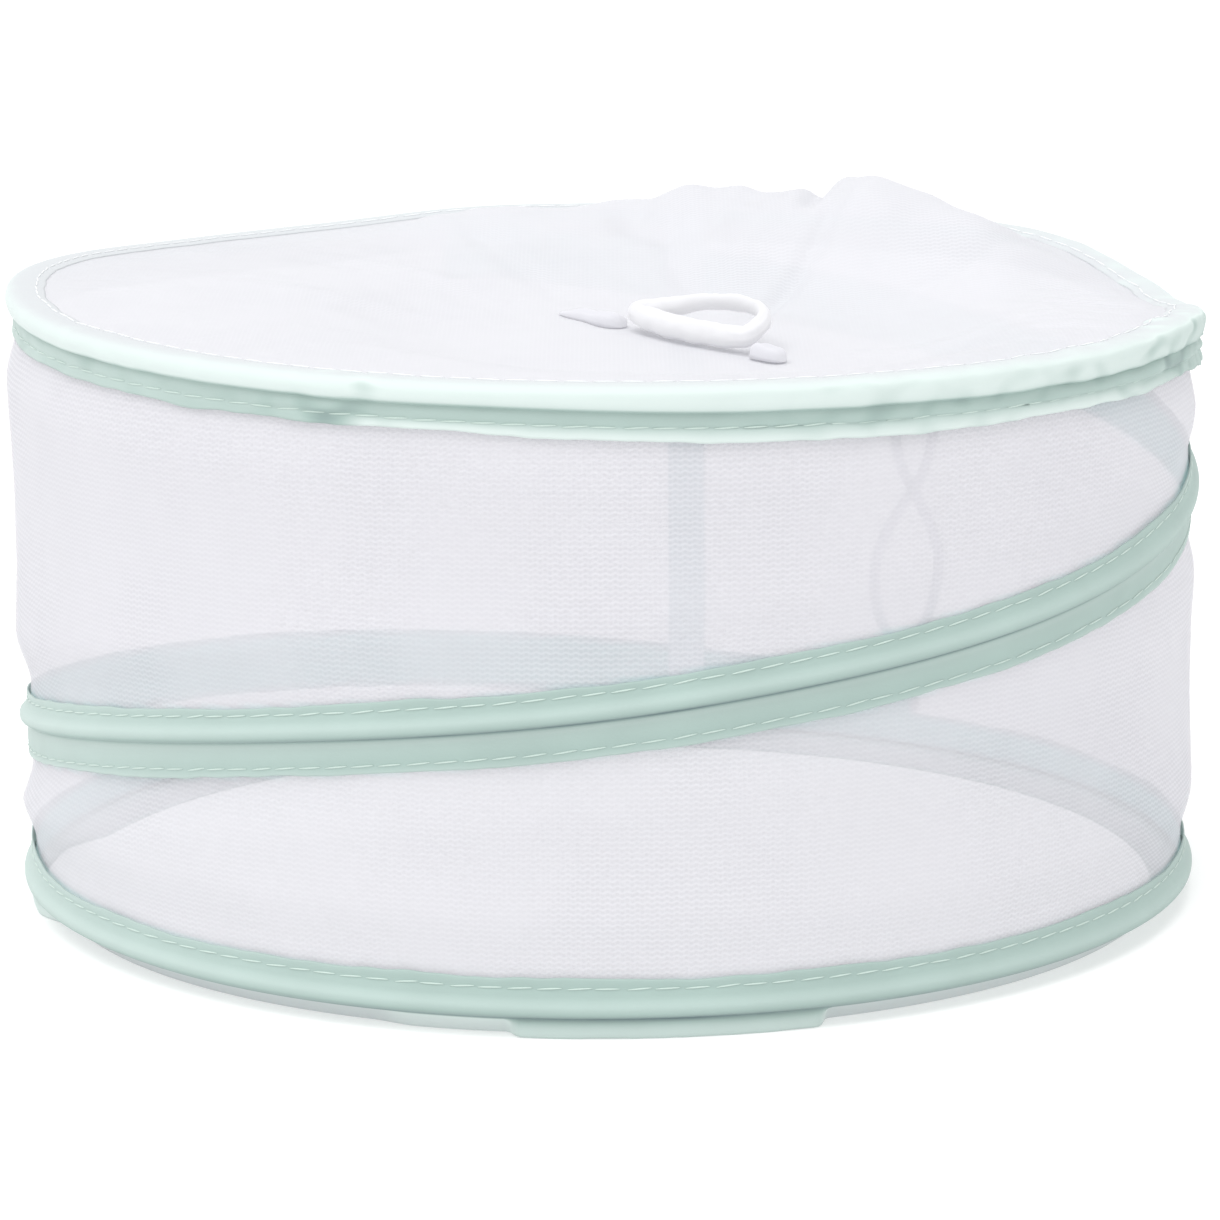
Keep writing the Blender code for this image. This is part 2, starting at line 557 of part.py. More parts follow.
def folded_tab(name: str, near: float, far: float, near_height: float, far_height: float, near_width: float,
               far_width: float, finish: bpy.types.Material) -> bpy.types.Object:
    """A folded end of the handle's tape, sewn flat on the panel, as a tapered block with soft edges."""
    shape = bmesh.new()
    bmesh.ops.create_cube(shape, size=1)
    for vertex in shape.verts:
        right = vertex.co.x > 0
        width = far_width if right else near_width
        height = far_height if right else near_height
        vertex.co.x = far if right else near
        vertex.co.y = width / 2 if vertex.co.y > 0 else -width / 2
        vertex.co.z = SEAM_GAP + (height if vertex.co.z > 0 else 0)
    data = bpy.data.meshes.new(name)
    shape.to_mesh(data)
    shape.free()
    made = add_object(name, data, finish)
    made.matrix_world = handle_frame()
    soft = made.modifiers.new("soft_edges", "BEVEL")
    soft.width = TAB_TIP_HEIGHT / 3
    soft.segments = 1
    return made


def build_handle(finish: bpy.types.Material) -> None:
    """The rolled loop and the two sewn tape ends that hold it."""
    handle_grip(finish)
    left = GRIP_OFFSET - GRIP_LENGTH / 2 - GRIP_ROLL / 2 - SEAM_GAP
    right = GRIP_OFFSET + GRIP_LENGTH / 2 + GRIP_ROLL / 2 + SEAM_GAP
    folded_tab("handle_left_tab", left - LEFT_TAB_LENGTH, left, TAB_TIP_HEIGHT, TAB_HEIGHT, TAB_WIDTH / 4,
               TAB_WIDTH, finish)
    folded_tab("handle_right_tab", right, right + RIGHT_TAB_LENGTH, TAB_HEIGHT, TAB_HEIGHT * 0.7, TAB_WIDTH * 0.8,
               TAB_WIDTH * 0.6, finish)


def loop_frame() -> Matrix:
    """The closing loop's axes: X sideways along the wall, Y inwards, Z up, origin under the sewn patch."""
    height = top_height(LOOP_ANGLE) - PATCH_TOP_DROP - PATCH_HEIGHT
    inset = MESH_THICKNESS / 2 + PATCH_GAP + PATCH_THICKNESS / 2
    origin = place(LOOP_ANGLE, HOOP_RADIUS + WALL_OFFSET - inset, height)
    return Matrix.Translation(origin) @ Matrix.Rotation(math.radians(LOOP_ANGLE), 4, "Z")


def closing_loop(finish: bpy.types.Material) -> bpy.types.Object:
    """The flat elastic loop: two legs that cross once under the patch and join in an eye."""
    pivot = bpy.data.objects.new("loop_pivot", None)
    bpy.data.collections["mesh_food_cover"].objects.link(pivot)
    pivot.matrix_world = loop_frame() @ Matrix.Rotation(math.radians(LOOP_LEAN), 4, "X")
    last = len(LOOP_SHARES) - 1
    path = []
    for index, (across, drop) in enumerate(LOOP_SHARES):
        side = CROSSING_GAP * (1 + math.cos(math.pi * index / last)) / 2
        path.append(Vector((across * LOOP_WIDTH, side, -SEAM_GAP - ELASTIC_WIDTH / 2 - drop * LOOP_DROP)))
    sections = []
    for index, point in enumerate(path):
        run = (path[min(index + 1, last)] - path[max(index - 1, 0)]).normalized()
        flat = run.cross(Vector((0, 1, 0))).normalized() * ELASTIC_WIDTH / 2
        sections.append([point - flat, point + flat])
    made = loft_sheet("closing_loop", sections, ELASTIC_THICKNESS, finish)
    made.parent = pivot
    return made


def loop_patch(finish: bpy.types.Material) -> bpy.types.Object:
    """The patch of tape that holds the closing loop's two ends, inside the wall under the top hoop."""
    shape = bmesh.new()
    bmesh.ops.create_cube(shape, size=1)
    bmesh.ops.scale(shape, verts=shape.verts, vec=(PATCH_WIDTH, PATCH_THICKNESS, PATCH_HEIGHT))
    bmesh.ops.translate(shape, verts=shape.verts, vec=(0, 0, PATCH_HEIGHT / 2))
    data = bpy.data.meshes.new("closing_loop_patch")
    shape.to_mesh(data)
    shape.free()
    made = add_object("closing_loop_patch", data, finish)
    made.matrix_world = loop_frame()
    soft = made.modifiers.new("soft_edges", "BEVEL")
    soft.width = PATCH_THICKNESS / 4
    soft.segments = 1
    return made


def report_coil_gap() -> None:
    """Prints the least gap between the coil's two passes, measured on its points."""
    points = [(step, place(step * STEP_ANGLE, HOOP_RADIUS, coil_height(step)))
              for step in range(COIL_FIRST_STEP, COIL_LAST_STEP + 1)]
    far_apart = STEPS_PER_TURN / 2
    least = min((a - b).length for i, a in points for j, b in points if j - i > far_apart)
    print(f"least gap of the coil's wire to itself: {(least - WIRE_DIAMETER) * 1000:.2f} mm")


def build_cover() -> None:
    """Builds every piece of the cover."""
    clear_scene()
    collection = bpy.data.collections.new("mesh_food_cover")
    bpy.context.scene.collection.children.link(collection)
    mesh = material("white_mesh", (0.86, 0.85, 0.88), 0.8)
    tape = material("mint_tape", (0.52, 0.74, 0.66), 0.65)
    webbing = material("white_webbing", (0.86, 0.85, 0.87), 0.6)
    elastic = material("grey_elastic", (0.75, 0.76, 0.78), 0.7)
    steel = material("spring_steel", (0.55, 0.55, 0.56), 0.3, 1.0)
    crimp = material("crimp_steel", (0.62, 0.62, 0.63), 0.35, 1.0)
    plastic = material("tip_plastic", (0.85, 0.85, 0.85), 0.5)
    build_wires(steel, crimp, plastic)
    top_casing(tape)
    coil_casing(tape)
    bottom_casing(tape)
    side_wall(mesh)
    seam_tape(tape)
    top_panel(mesh)
    build_handle(webbing)
    closing_loop(elastic)
    loop_patch(tape)
    report_coil_gap()


build_cover()
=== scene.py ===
import json
import logging
import math
from dataclasses import dataclass, field
from enum import Enum
from typing import Callable, Optional, Sequence, Union

import bmesh
import bpy
import numpy as np
from mathutils import Matrix, Vector, noise
from mathutils.bvhtree import BVHTree


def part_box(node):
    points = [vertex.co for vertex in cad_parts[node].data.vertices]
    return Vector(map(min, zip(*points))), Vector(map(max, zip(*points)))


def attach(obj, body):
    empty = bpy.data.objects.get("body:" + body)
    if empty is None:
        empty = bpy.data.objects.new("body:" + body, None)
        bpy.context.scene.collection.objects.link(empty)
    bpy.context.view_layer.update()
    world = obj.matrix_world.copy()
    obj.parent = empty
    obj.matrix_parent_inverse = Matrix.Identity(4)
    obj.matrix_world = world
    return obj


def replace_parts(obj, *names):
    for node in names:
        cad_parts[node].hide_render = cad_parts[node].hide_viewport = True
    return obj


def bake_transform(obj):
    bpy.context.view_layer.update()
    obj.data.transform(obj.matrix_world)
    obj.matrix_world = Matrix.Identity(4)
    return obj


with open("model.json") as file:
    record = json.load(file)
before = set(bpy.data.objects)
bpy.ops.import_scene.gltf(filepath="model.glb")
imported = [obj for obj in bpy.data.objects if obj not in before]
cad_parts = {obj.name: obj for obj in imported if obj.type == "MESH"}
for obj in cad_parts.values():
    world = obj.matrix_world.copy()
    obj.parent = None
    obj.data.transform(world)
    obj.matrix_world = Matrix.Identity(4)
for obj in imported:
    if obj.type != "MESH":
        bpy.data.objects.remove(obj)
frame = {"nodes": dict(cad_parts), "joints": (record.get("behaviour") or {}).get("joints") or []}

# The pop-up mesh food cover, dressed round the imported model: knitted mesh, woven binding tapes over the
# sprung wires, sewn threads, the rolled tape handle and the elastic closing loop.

LOG = logging.getLogger("mesh_food_cover")
MM = 0.001
STEP = 6.0            # degrees between two sections of the CAD model's rings
SLICE = STEP / 6      # degrees to each side of a section in which its corners are looked for
FEWEST = 6            # corners that a section of a wire has at least
WELD = MM / 100       # corners this close to each other are joined
GAUGE = 0.17          # radius of the round on which the cloth's waves are read, in metres
FULL = 360.0
# The crease attribute sets painted shade in the tapes' colour where they lie in a fold, and below 0 paints
# them paler, mostly as a painted highlight; on the wall it carries the painted tint of backlit tape behind
# the cloth.
CREASE = "crease"     # attribute: how deep in a fold a point lies, from 0 to 1
CLOTH_MAP = "cloth"   # UV map in metres along and across the cloth

Angles = Union[float, np.ndarray]
Number = Union[float, int]
Colour = tuple[float, float, float, float]
Bumps = tuple[tuple[float, float, float], ...]


class Body(Enum):
    """The bodies that the pieces move with."""
    BASE = "base_hoop"
    TOP = "top_hoop"
    HANDLE = "handle"
    LOOP = "elastic_loop"


class Slot(Enum):
    """The record's material slots."""
    MESH = "mesh"
    TAPE = "tape"
    WIRE = "spring_wire"
    CRIMP = "crimp"
    TIP = "tip_plastic"
    WEBBING = "webbing"
    ELASTIC = "elastic"


# Numbers


def ease(value: float) -> float:
    """Eases from 0 to 1 as value goes from 0 to 1."""
    value = min(max(value, 0.0), 1.0)
    return value * value * (3 - 2 * value)


def past(angle: Angles, middle: float) -> Angles:
    """How far an angle lies past another, from -180 to 180 degrees."""
    return (angle - middle + FULL / 2) % FULL - FULL / 2


def near(angle: float, middle: float, spread: float) -> float:
    """A soft bump, 1 where angle equals middle, that fades over spread degrees.

    Args:
        angle: place round the drum in degrees.
        middle: where the bump is.
        spread: how many degrees it takes to fade.

    Returns:
        The bump's height, from 0 to 1.
    """
    away = past(angle, middle) / spread
    return math.exp(-away * away)


def bumps(angle: float, table: Bumps) -> float:
    """The sum of soft bumps at an angle, each given by its middle, its spread and its height."""
    return sum(height * near(angle, middle, spread) for middle, spread, height in table)


def on_drum(angle: float, radius: float, height: float) -> Vector:
    """A point of the drum, its angle in degrees from the front towards +X."""
    turn = math.radians(angle)
    return Vector((radius * math.sin(turn), -radius * math.cos(turn), height))


@dataclass(frozen=True)
class Waves:
    """Soft uneven waves in cloth.

    Attributes:
        length: about how long they are, in metres.
        pattern: which of the noise's patterns they follow.
        height: how high the noise's 1 stands.
    """
    length: float
    pattern: float
    height: float = 1.0

    def at(self, point: Vector, seed: float = 0.0) -> float:
        """Their height at a point, mostly within 0.6 of the full height to each side."""
        seed += self.pattern
        return noise.noise(point / self.length + Vector((seed, seed * 1.7, -seed))) * self.height


def weights(t: np.ndarray) -> list[np.ndarray]:
    """The four weights of a cubic through evenly spaced values."""
    return [(-t + 2 * t ** 2 - t ** 3) / 2, (2 - 5 * t ** 2 + 3 * t ** 3) / 2,
            (t + 4 * t ** 2 - 3 * t ** 3) / 2, (t ** 3 - t ** 2) / 2]


def through(rows: np.ndarray, places: np.ndarray, closed: bool = False) -> np.ndarray:
    """Reads evenly spaced rows of numbers at places between them, by smooth cubics.

    Args:
        rows: the rows.
        places: where to read, counted in rows from the first.
        closed: whether the last row leads back to the first.

    Returns:
        One row for each place.
    """
    count = len(rows)
    if closed:
        low = np.floor(places).astype(int)
        chosen = [rows[(low + index - 1) % count] for index in range(4)]
    else:
        low = np.minimum(places.astype(int), count - 2)
        padded = np.vstack([2 * rows[0] - rows[1], rows, 2 * rows[-1] - rows[-2]])
        chosen = [padded[low + index] for index in range(4)]
    return sum(part * row for part, row in zip(weights((places - low)[:, None]), chosen))


@dataclass
class Table:
    """Values of a CAD ring at even steps of angle and rows, read between them by smooth cubics.

    Attributes:
        values: one row of numbers for each step of angle.
        first: angle of the first step, in degrees.
        closed: whether the steps go right round.
    """
    values: np.ndarray
    first: float = -FULL / 2
    closed: bool = True

    def at(self, angles: Sequence[float], rows: Union[float, Sequence[float]] = 0.0) -> np.ndarray:
        """Reads the table.

        Args:
            angles: places round the drum in degrees.
            rows: places across the rows, one for all or one for each angle.

        Returns:
            One value for each angle.
        """
        count, across = self.values.shape
        where = (np.asarray(angles, float) - self.first) / STEP
        rows = np.broadcast_to(np.asarray(rows, float), where.shape)
        low = np.floor(where + 1e-9).astype(int)
        if not self.closed:
            low = np.clip(low, 0, count - 2)
        base = np.clip(np.floor(rows + 1e-9).astype(int), 0, max(across - 2, 0))
        total = np.zeros(where.shape)
        for i, by_angle in enumerate(weights(where - low)):
            column = (low + i - 1) % count if self.closed else np.clip(low + i - 1, 0, count - 1)
            for j, by_row in enumerate(weights(rows - base)):
                total += by_angle * by_row * self.values[column, np.clip(base + j - 1, 0, across - 1)]
        return total


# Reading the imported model


def node_points(name: str) -> np.ndarray:
    """The corners of a CAD node's mesh, each once."""
    data = frame["nodes"][name].data
    points = np.empty(len(data.vertices) * 3)
    data.vertices.foreach_get("co", points)
    return np.unique(points.reshape(-1, 3).round(6), axis=0)


def polar(points: np.ndarray) -> tuple[np.ndarray, np.ndarray, np.ndarray]:
    """Angle in degrees, radius and height of points on the drum."""
    x, y, height = points.T
    return np.degrees(np.arctan2(x, -y)), np.hypot(x, y), height


def hinge_of(body: Body) -> tuple[Vector, Vector]:
    """A point of the hinge that a body turns on, and the hinge's direction."""
    joint = next(joint for joint in frame["joints"] if joint["child"] == body.value)
    return Vector(joint.get("pos_m") or joint["pos"]), Vector(joint["axis"]).normalized()


def centre_line(points: tuple[np.ndarray, np.ndarray, np.ndarray], steps: np.ndarray,
                closed: bool) -> tuple[Table, Table]:
    """Radius and height of a wire's centre line, from the middle of its corners at each step.

    Args:
        points: angle, radius and height of the wire's corners.
        steps: angles of the sections, in degrees.
        closed: whether the wire goes right round.

    Returns:
        The table of radii and the table of heights.
    """
    angle, radius, height = points
    found = []
    for step in steps:
        close = np.abs(past(angle, step) if closed else angle - step) < SLICE
        if close.sum() >= FEWEST:
            found.append((step, radius[close].mean(), height[close].mean()))
    places, radii, heights = np.array(found).T
    period = FULL if closed else None
    return tuple(Table(np.interp(steps, places, values, period=period)[:, None], float(steps[0]), closed)
                 for values in (radii, heights))


def hoop_tables(name: str) -> tuple[Table, Table]:
    """Radius and height of a hoop wire's centre line, by the name of its CAD node."""
    return centre_line(polar(node_points(name)), np.arange(-FULL / 2, FULL / 2, STEP), True)


def coil_tables(name: str, first: float, last: float) -> tuple[Table, Table]:
    """Radius and height of the coil wire's centre line, unwound along its climb.

    Args:
        name: the wire's CAD node.
        first: angle of the coil's lower end, in degrees.
        last: angle of its upper end.

    Returns:
        The table of radii and the table of heights.
    """
    angle, radius, height = polar(node_points(name))
    middle = (height.min() + height.max()) / 2
    angle = np.where((angle > FULL / 4) & (height < middle), angle - FULL, angle)
    angle = np.where((angle < -FULL / 4) & (height > middle), angle + FULL, angle)
    return centre_line((angle, radius, height), np.arange(first, last + STEP / 2, STEP), False)


# Meshes


def mapped_grid(spots: np.ndarray, lengths: np.ndarray, folds: np.ndarray,
                closed: bool) -> bmesh.types.BMesh:
    """A grid of cloth laid on given places, with its UV map in metres.

    Args:
        spots: places by column and row, in metres.
        lengths: distance along and across the cloth by column and row, in metres.
        folds: how deep in a fold each place lies, by column and row, stored as the crease attribute that the
            finishes read for painted light and shade.
        closed: whether the last column meets the first.

    Returns:
        The bmesh, its faces turned to the side that columns x rows point to.
    """
    columns, rows = spots.shape[0] - 1, spots.shape[1] - 1
    shape = bmesh.new()
    cloth = shape.loops.layers.uv.new(CLOTH_MAP)
    crease = shape.verts.layers.float.new(CREASE)
    bmesh.ops.create_grid(shape, x_segments=columns, y_segments=rows, size=1.0)
    index = {vertex: (round((vertex.co.x + 1) / 2 * columns), round((vertex.co.y + 1) / 2 * rows))
             for vertex in shape.verts}
    for face in shape.faces:
        for loop in face.loops:
            loop[cloth].uv = lengths[index[loop.vert]]
    for vertex, cell in index.items():
        vertex.co = spots[cell]
        vertex[crease] = folds[cell]
    if closed:
        seam = [vertex for vertex, (column, row) in index.items() if column in (0, columns)]
        bmesh.ops.remove_doubles(shape, verts=seam, dist=WELD)
    return shape


def run_lengths(spots: np.ndarray, axis: int) -> np.ndarray:
    """Distance travelled along one axis of a grid of places, starting from 0."""
    gaps = np.linalg.norm(np.diff(spots, axis=axis), axis=2)
    start = np.zeros_like(np.take(gaps, [0], axis=axis))
    return np.cumsum(np.concatenate([start, gaps], axis=axis), axis=axis)


def lay_grid(spots: np.ndarray, folds: Optional[np.ndarray] = None, closed: bool = False,
             upright: bool = False) -> bmesh.types.BMesh:
    """A grid of cloth whose UV map is measured on its own places.

    Args:
        spots: places by column and row, in metres.
        folds: how deep in a fold each place lies, stored for painted light and shade, or none.
        closed: whether the last column meets the first.
        upright: whether the cloth runs along its rows, not along its columns.

    Returns:
        The bmesh.
    """
    lengths = [run_lengths(spots, axis) for axis in ((1, 0) if upright else (0, 1))]
    folds = np.zeros(spots.shape[:2]) if folds is None else folds
    return mapped_grid(spots, np.stack(lengths, axis=2), folds, closed)


def weld(shape: bmesh.types.BMesh) -> None:
    """Joins a tube's seam and poles, closes its open ends and turns its faces outwards."""
    bmesh.ops.remove_doubles(shape, verts=shape.verts, dist=WELD)
    bmesh.ops.holes_fill(shape, edges=[edge for edge in shape.edges if edge.is_boundary], sides=0)
    bmesh.ops.recalc_face_normals(shape, faces=shape.faces)


def show(name: str, data: bpy.types.ID) -> bpy.types.Object:
    """Puts a mesh, a camera or a light in the scene."""
    made = bpy.data.objects.new(name, data)
    bpy.context.scene.collection.objects.link(made)
    return made


def add_piece(name: str, shape: bmesh.types.BMesh, finish: bpy.types.Material,
              thickness: float = 0.0) -> bpy.types.Object:
    """Makes a finished piece from a bmesh, at the origin.

    Args:
        name: the piece's name.
        shape: its mesh, which is freed.
        finish: its material.
        thickness: thickness given to a sheet, in metres, or 0.

    Returns:
        The piece.
    """
    data = bpy.data.meshes.new(name)
    shape.to_mesh(data)
    shape.free()
    data.materials.append(finish)
    data.shade_smooth()
    piece = show(name, data)
    if thickness:
        wall = piece.modifiers.new("cloth_thickness", "SOLIDIFY")
        wall.thickness = thickness
        wall.offset = 0.0
    return piece


# Shader maths


@dataclass(frozen=True)
class Signal:
    """A socket of a shader, with the arithmetic that the finishes use."""
    bench: "Bench"
    socket: bpy.types.NodeSocket

    def maths(self, operation: str, *others: Union["Signal", Number], clamp: bool = False) -> "Signal":
        """One Math node with this value first."""
        made = self.bench.node("ShaderNodeMath", {"operation": operation, "use_clamp": clamp},
                               dict(enumerate((self, *others))))
        return self.bench.out(made)

    def after(self, operation: str, first: Number) -> "Signal":
        """One Math node with a number first and this value second."""
        made = self.bench.node("ShaderNodeMath", {"operation": operation}, {0: first, 1: self})
        return self.bench.out(made)

    def __add__(self, other: Union["Signal", Number]) -> "Signal":
        return self.maths("ADD", other)

    def __radd__(self, other: Number) -> "Signal":
        return self.maths("ADD", other)

    def __sub__(self, other: Union["Signal", Number]) -> "Signal":
        return self.maths("SUBTRACT", other)

    def __rsub__(self, other: Number) -> "Signal":
        return self.after("SUBTRACT", other)

    def __mul__(self, other: Union["Signal", Number]) -> "Signal":
        return self.maths("MULTIPLY", other)

    def __rmul__(self, other: Number) -> "Signal":
        return self.maths("MULTIPLY", other)

    def __truediv__(self, other: Union["Signal", Number]) -> "Signal":
        return self.maths("DIVIDE", other)

    def __rtruediv__(self, other: Number) -> "Signal":
        return self.after("DIVIDE", other)

    def clamp(self, gain: Union["Signal", Number] = 1.0) -> "Signal":
        """This value times a gain, held between 0 and 1."""
        return self.maths("MULTIPLY", gain, clamp=True)

    def wave(self) -> "Signal":
        """A triangle wave from 0 to 1 and back for each whole step of this value."""
        return (self.maths("FRACT") * 2 - 1).maths("ABSOLUTE")

    def stripe(self, width: float, soft: float) -> "Signal":
        """1 on a line in the middle of each whole step, width and soft edges as shares of the step."""
        away = (self.maths("FRACT") - 0.5).maths("ABSOLUTE")
        return ((width / 2 + soft - away) / soft).clamp()


class Bench:
    """One material's node tree, ending in a Principled shader."""

    def __init__(self, name: str) -> None:
        """Makes the material and keeps its shader.

        Args:
            name: the material's name.
        """
        self.material = bpy.data.materials.new(name)
        self.material.use_nodes = True
        self.tree = self.material.node_tree
        self.shader = self.tree.nodes["Principled BSDF"]

    def node(self, kind: str, settings: Optional[dict] = None,
             sockets: Optional[dict] = None) -> bpy.types.Node:
        """Adds any node.

        Args:
            kind: the node's type.
            settings: its own settings, set first.
            sockets: values or signals for its inputs, by name or number.

        Returns:
            The node.
        """
        made = self.tree.nodes.new(kind)
        for key, value in (settings or {}).items():
            setattr(made, key, value)
        for key, value in (sockets or {}).items():
            self.feed(made.inputs[key], value)
        return made

    def feed(self, socket: bpy.types.NodeSocket, value: object) -> None:
        """Links a signal to a socket, or sets the value on it."""
        if isinstance(value, Signal):
            self.tree.links.new(value.socket, socket)
        else:
            socket.default_value = value

    def out(self, made: bpy.types.Node, name: Union[str, int] = 0) -> Signal:
        """One output of a node as a signal."""
        return Signal(self, made.outputs[name])

    def cloth(self) -> tuple[Signal, Signal]:
        """Distance along and across the cloth, in metres."""
        mapped = self.node("ShaderNodeUVMap", {"uv_map": CLOTH_MAP})
        split = self.node("ShaderNodeSeparateXYZ", sockets={0: self.out(mapped)})
        return self.out(split, 0), self.out(split, 1)

    def crease(self) -> Signal:
        """How deep in a fold the point lies, as stored for painted light and shade."""
        return self.out(self.node("ShaderNodeAttribute", {"attribute_name": CREASE}), "Fac")

    def place(self) -> Signal:
        """The point's place on the object, in metres."""
        return self.out(self.node("ShaderNodeTexCoord"), "Object")

    def grain(self, vector: Signal, scale: float, detail: float = 3.0, rough: float = 0.5) -> Signal:
        """Noise from 0 to 1 whose waves are 1 / scale metres long."""
        sockets = {"Vector": vector, "Scale": scale, "Detail": detail, "Roughness": rough}
        return self.out(self.node("ShaderNodeTexNoise", {"noise_dimensions": "3D"}, sockets))

    def mix(self, share: Union[Signal, Number], first: object, second: object) -> Signal:
        """A colour between two."""
        made = self.node("ShaderNodeMix", {"data_type": "RGBA"})
        self.feed(made.inputs[0], share)
        self.feed(made.inputs[6], first)
        self.feed(made.inputs[7], second)
        return Signal(self, made.outputs[2])

    def bump(self, height: Signal, distance: float, strength: float) -> Signal:
        """A normal from a height between 0 and 1, worth distance metres."""
        return self.out(self.node("ShaderNodeBump", None,
                                  {"Height": height, "Distance": distance, "Strength": strength}))

    def finish(self, **sockets: object) -> bpy.types.Material:
        """Feeds the Principled shader; an underscore in a name stands for a space."""
        for key, value in sockets.items():
            self.feed(self.shader.inputs[key.replace("_", " ")], value)
        return self.material


def shaded(colour: Colour, share: float) -> Colour:
    """A colour made darker by a share under 1, or lighter by one over it."""
    return tuple(min(channel * share, 1.0) for channel in colour[:3]) + (1.0,)


@dataclass(frozen=True)
class MeshCloth:
    """Knitted mesh: rows of threads that zigzag side by side, with thin links between the rows.

    Attributes:
        name: the material's name.
        thread: colour of the thread.
        gap: colour of the thin film of thread across the gaps.
        backlit_tape: colour where tape lies behind it, a painted tint of that tape lit through from outside.
        row: height of one row, in metres.
        period: length of one zigzag, in metres.
        depth: height of the zigzag, in metres.
        solid: how much a thread hides, on each face of the cloth.
        open: how much a gap hides, on each face of the cloth.
        glow: how strongly it glows by itself, a painted glow that stands in for light coming through it.
        clear: how clearly the rows show, from 0 to 1.
    """
    name: str
    thread: Colour
    gap: Colour
    backlit_tape: Colour = (0.60, 0.96, 0.94, 1)
    row: float = 1.50 * MM
    period: float = 2.6 * MM
    depth: float = 0.55 * MM
    solid: float = 0.51
    open: float = 0.40
    glow: float = 0.07
    clear: float = 0.9

    def make(self) -> bpy.types.Material:
        """The material."""
        bench = Bench(self.name)
        along, across = bench.cloth()
        vector = bench.out(bench.node("ShaderNodeUVMap", {"uv_map": CLOTH_MAP}))
        place = bench.place()
        drift = (bench.grain(vector, 60.0, 2.0) - 0.5) * (self.row * 0.8)
        zigzag = (along / self.period).wave() * self.depth
        rows = (across + zigzag + drift) / self.row
        links = (along / self.period * 2).stripe(0.22, 0.16)
        patchy = ((bench.grain(place, 19.0, 2.0) - 0.40) * 4.5).clamp(self.clear)
        holes = rows.stripe(0.36, 0.22) * (1 - links * 0.35) * (0.30 * self.clear + patchy * 0.70)
        tint = bench.grain(place, 26.0, 3.0)
        shade = bench.grain(vector, 900.0, 2.0)
        colour = bench.mix(holes, self.thread, self.gap)
        colour = bench.mix(tint * shade * 0.7, colour, shaded(self.thread, 0.94))
        # Painted light: where tape lies behind the cloth, the colour moves towards the bright tint of that
        # tape lit through from outside.
        colour = bench.mix(bench.crease() * 0.85, colour, self.backlit_tape)
        alpha = self.solid - holes * (self.solid - self.open)
        relief = (1 - holes) * 0.8 + shade * 0.2
        # The emission is a painted glow.
        return bench.finish(Base_Color=colour, Alpha=alpha, Roughness=0.75, Sheen_Weight=0.1,
                            Specular_IOR_Level=0.2, Emission_Color=self.thread, Emission_Strength=self.glow,
                            Normal=bench.bump(relief, 0.10 * MM, 0.12))


@dataclass(frozen=True)
class WovenTape:
    """Plain woven binding tape with a fine rib, painted darker in shade where it is folded in.

    Attributes:
        name: the material's name.
        colour: the tape's own colour.
        deep: its colour in a crease, a painted shade.
        pale: its colour where it lies flat in the light.
        full_highlight: its colour in the strongest painted highlight, along the brim's inner edge, where it
            hardly shows on the mesh.
        pitch: distance between two ribs, in metres.
        gloss: roughness.
        glow: how strongly it glows by itself, a painted glow that stands in for light coming through it.
    """
    name: str
    colour: Colour
    deep: Colour
    pale: Colour
    full_highlight: Colour = (0.510, 0.526, 0.546, 1)
    pitch: float = 0.55 * MM
    gloss: float = 0.55
    glow: float = 0.06

    def make(self) -> bpy.types.Material:
        """The material."""
        bench = Bench(self.name)
        along, across = bench.cloth()
        warp = (across / self.pitch).wave()
        weft = (along / (self.pitch * 0.8) + (across / self.pitch).maths("FLOOR") * 0.5).wave()
        weave = warp * 0.6 + weft * 0.4
        place = bench.place()
        cloud = bench.grain(place, 45.0, 3.0)
        fibre = bench.grain(place, 1400.0, 2.0)
        fold = bench.crease()
        # Painted light: a crease value above 0 paints shade into a fold; one below 0 paints the tape paler,
        # as a highlight on the rolls and the brim, as a lift out of the shade under the creases, and along
        # stretches that are simply paler.
        highlight_and_paler, full_highlight_share = (fold * -1).clamp(), (fold * -1 - 1.0).clamp()
        fold = (fold * (0.62 + cloud * 0.75)).clamp()
        dim = shaded(self.colour, 0.90)
        colour = bench.mix(cloud, dim, shaded(self.colour, 1.10))
        colour = bench.mix(weave * fibre * 0.30, colour, dim)
        colour = bench.mix(highlight_and_paler, colour, self.pale)
        colour = bench.mix(full_highlight_share, colour, self.full_highlight)
        colour = bench.mix(fold, colour, self.deep)
        relief = weave * 0.7 + fibre * 0.3
        rough = self.gloss + fibre * 0.2
        # The emission is a painted glow in the tape's pale colour.
        return bench.finish(Base_Color=colour, Roughness=rough, Sheen_Weight=0.1, Specular_IOR_Level=0.25,
                            Emission_Color=self.pale, Emission_Strength=self.glow,
                            Normal=bench.bump(relief, 0.05 * MM, 0.35))


@dataclass(frozen=True)
class SewingThread:
    """Twisted sewing thread."""
    name: str
    colour: Colour
    twist: float = 0.45 * MM

    def make(self) -> bpy.types.Material:
        """The material."""
        bench = Bench(self.name)
        place = bench.place()
        fibre = bench.grain(place, 1 / self.twist, 3.0, 0.6)
        colour = bench.mix(fibre, shaded(self.colour, 0.82), self.colour)
        return bench.finish(Base_Color=colour, Roughness=0.45 + fibre * 0.25, Sheen_Weight=0.2,
                            Normal=bench.bump(fibre, 0.06 * MM, 0.5))


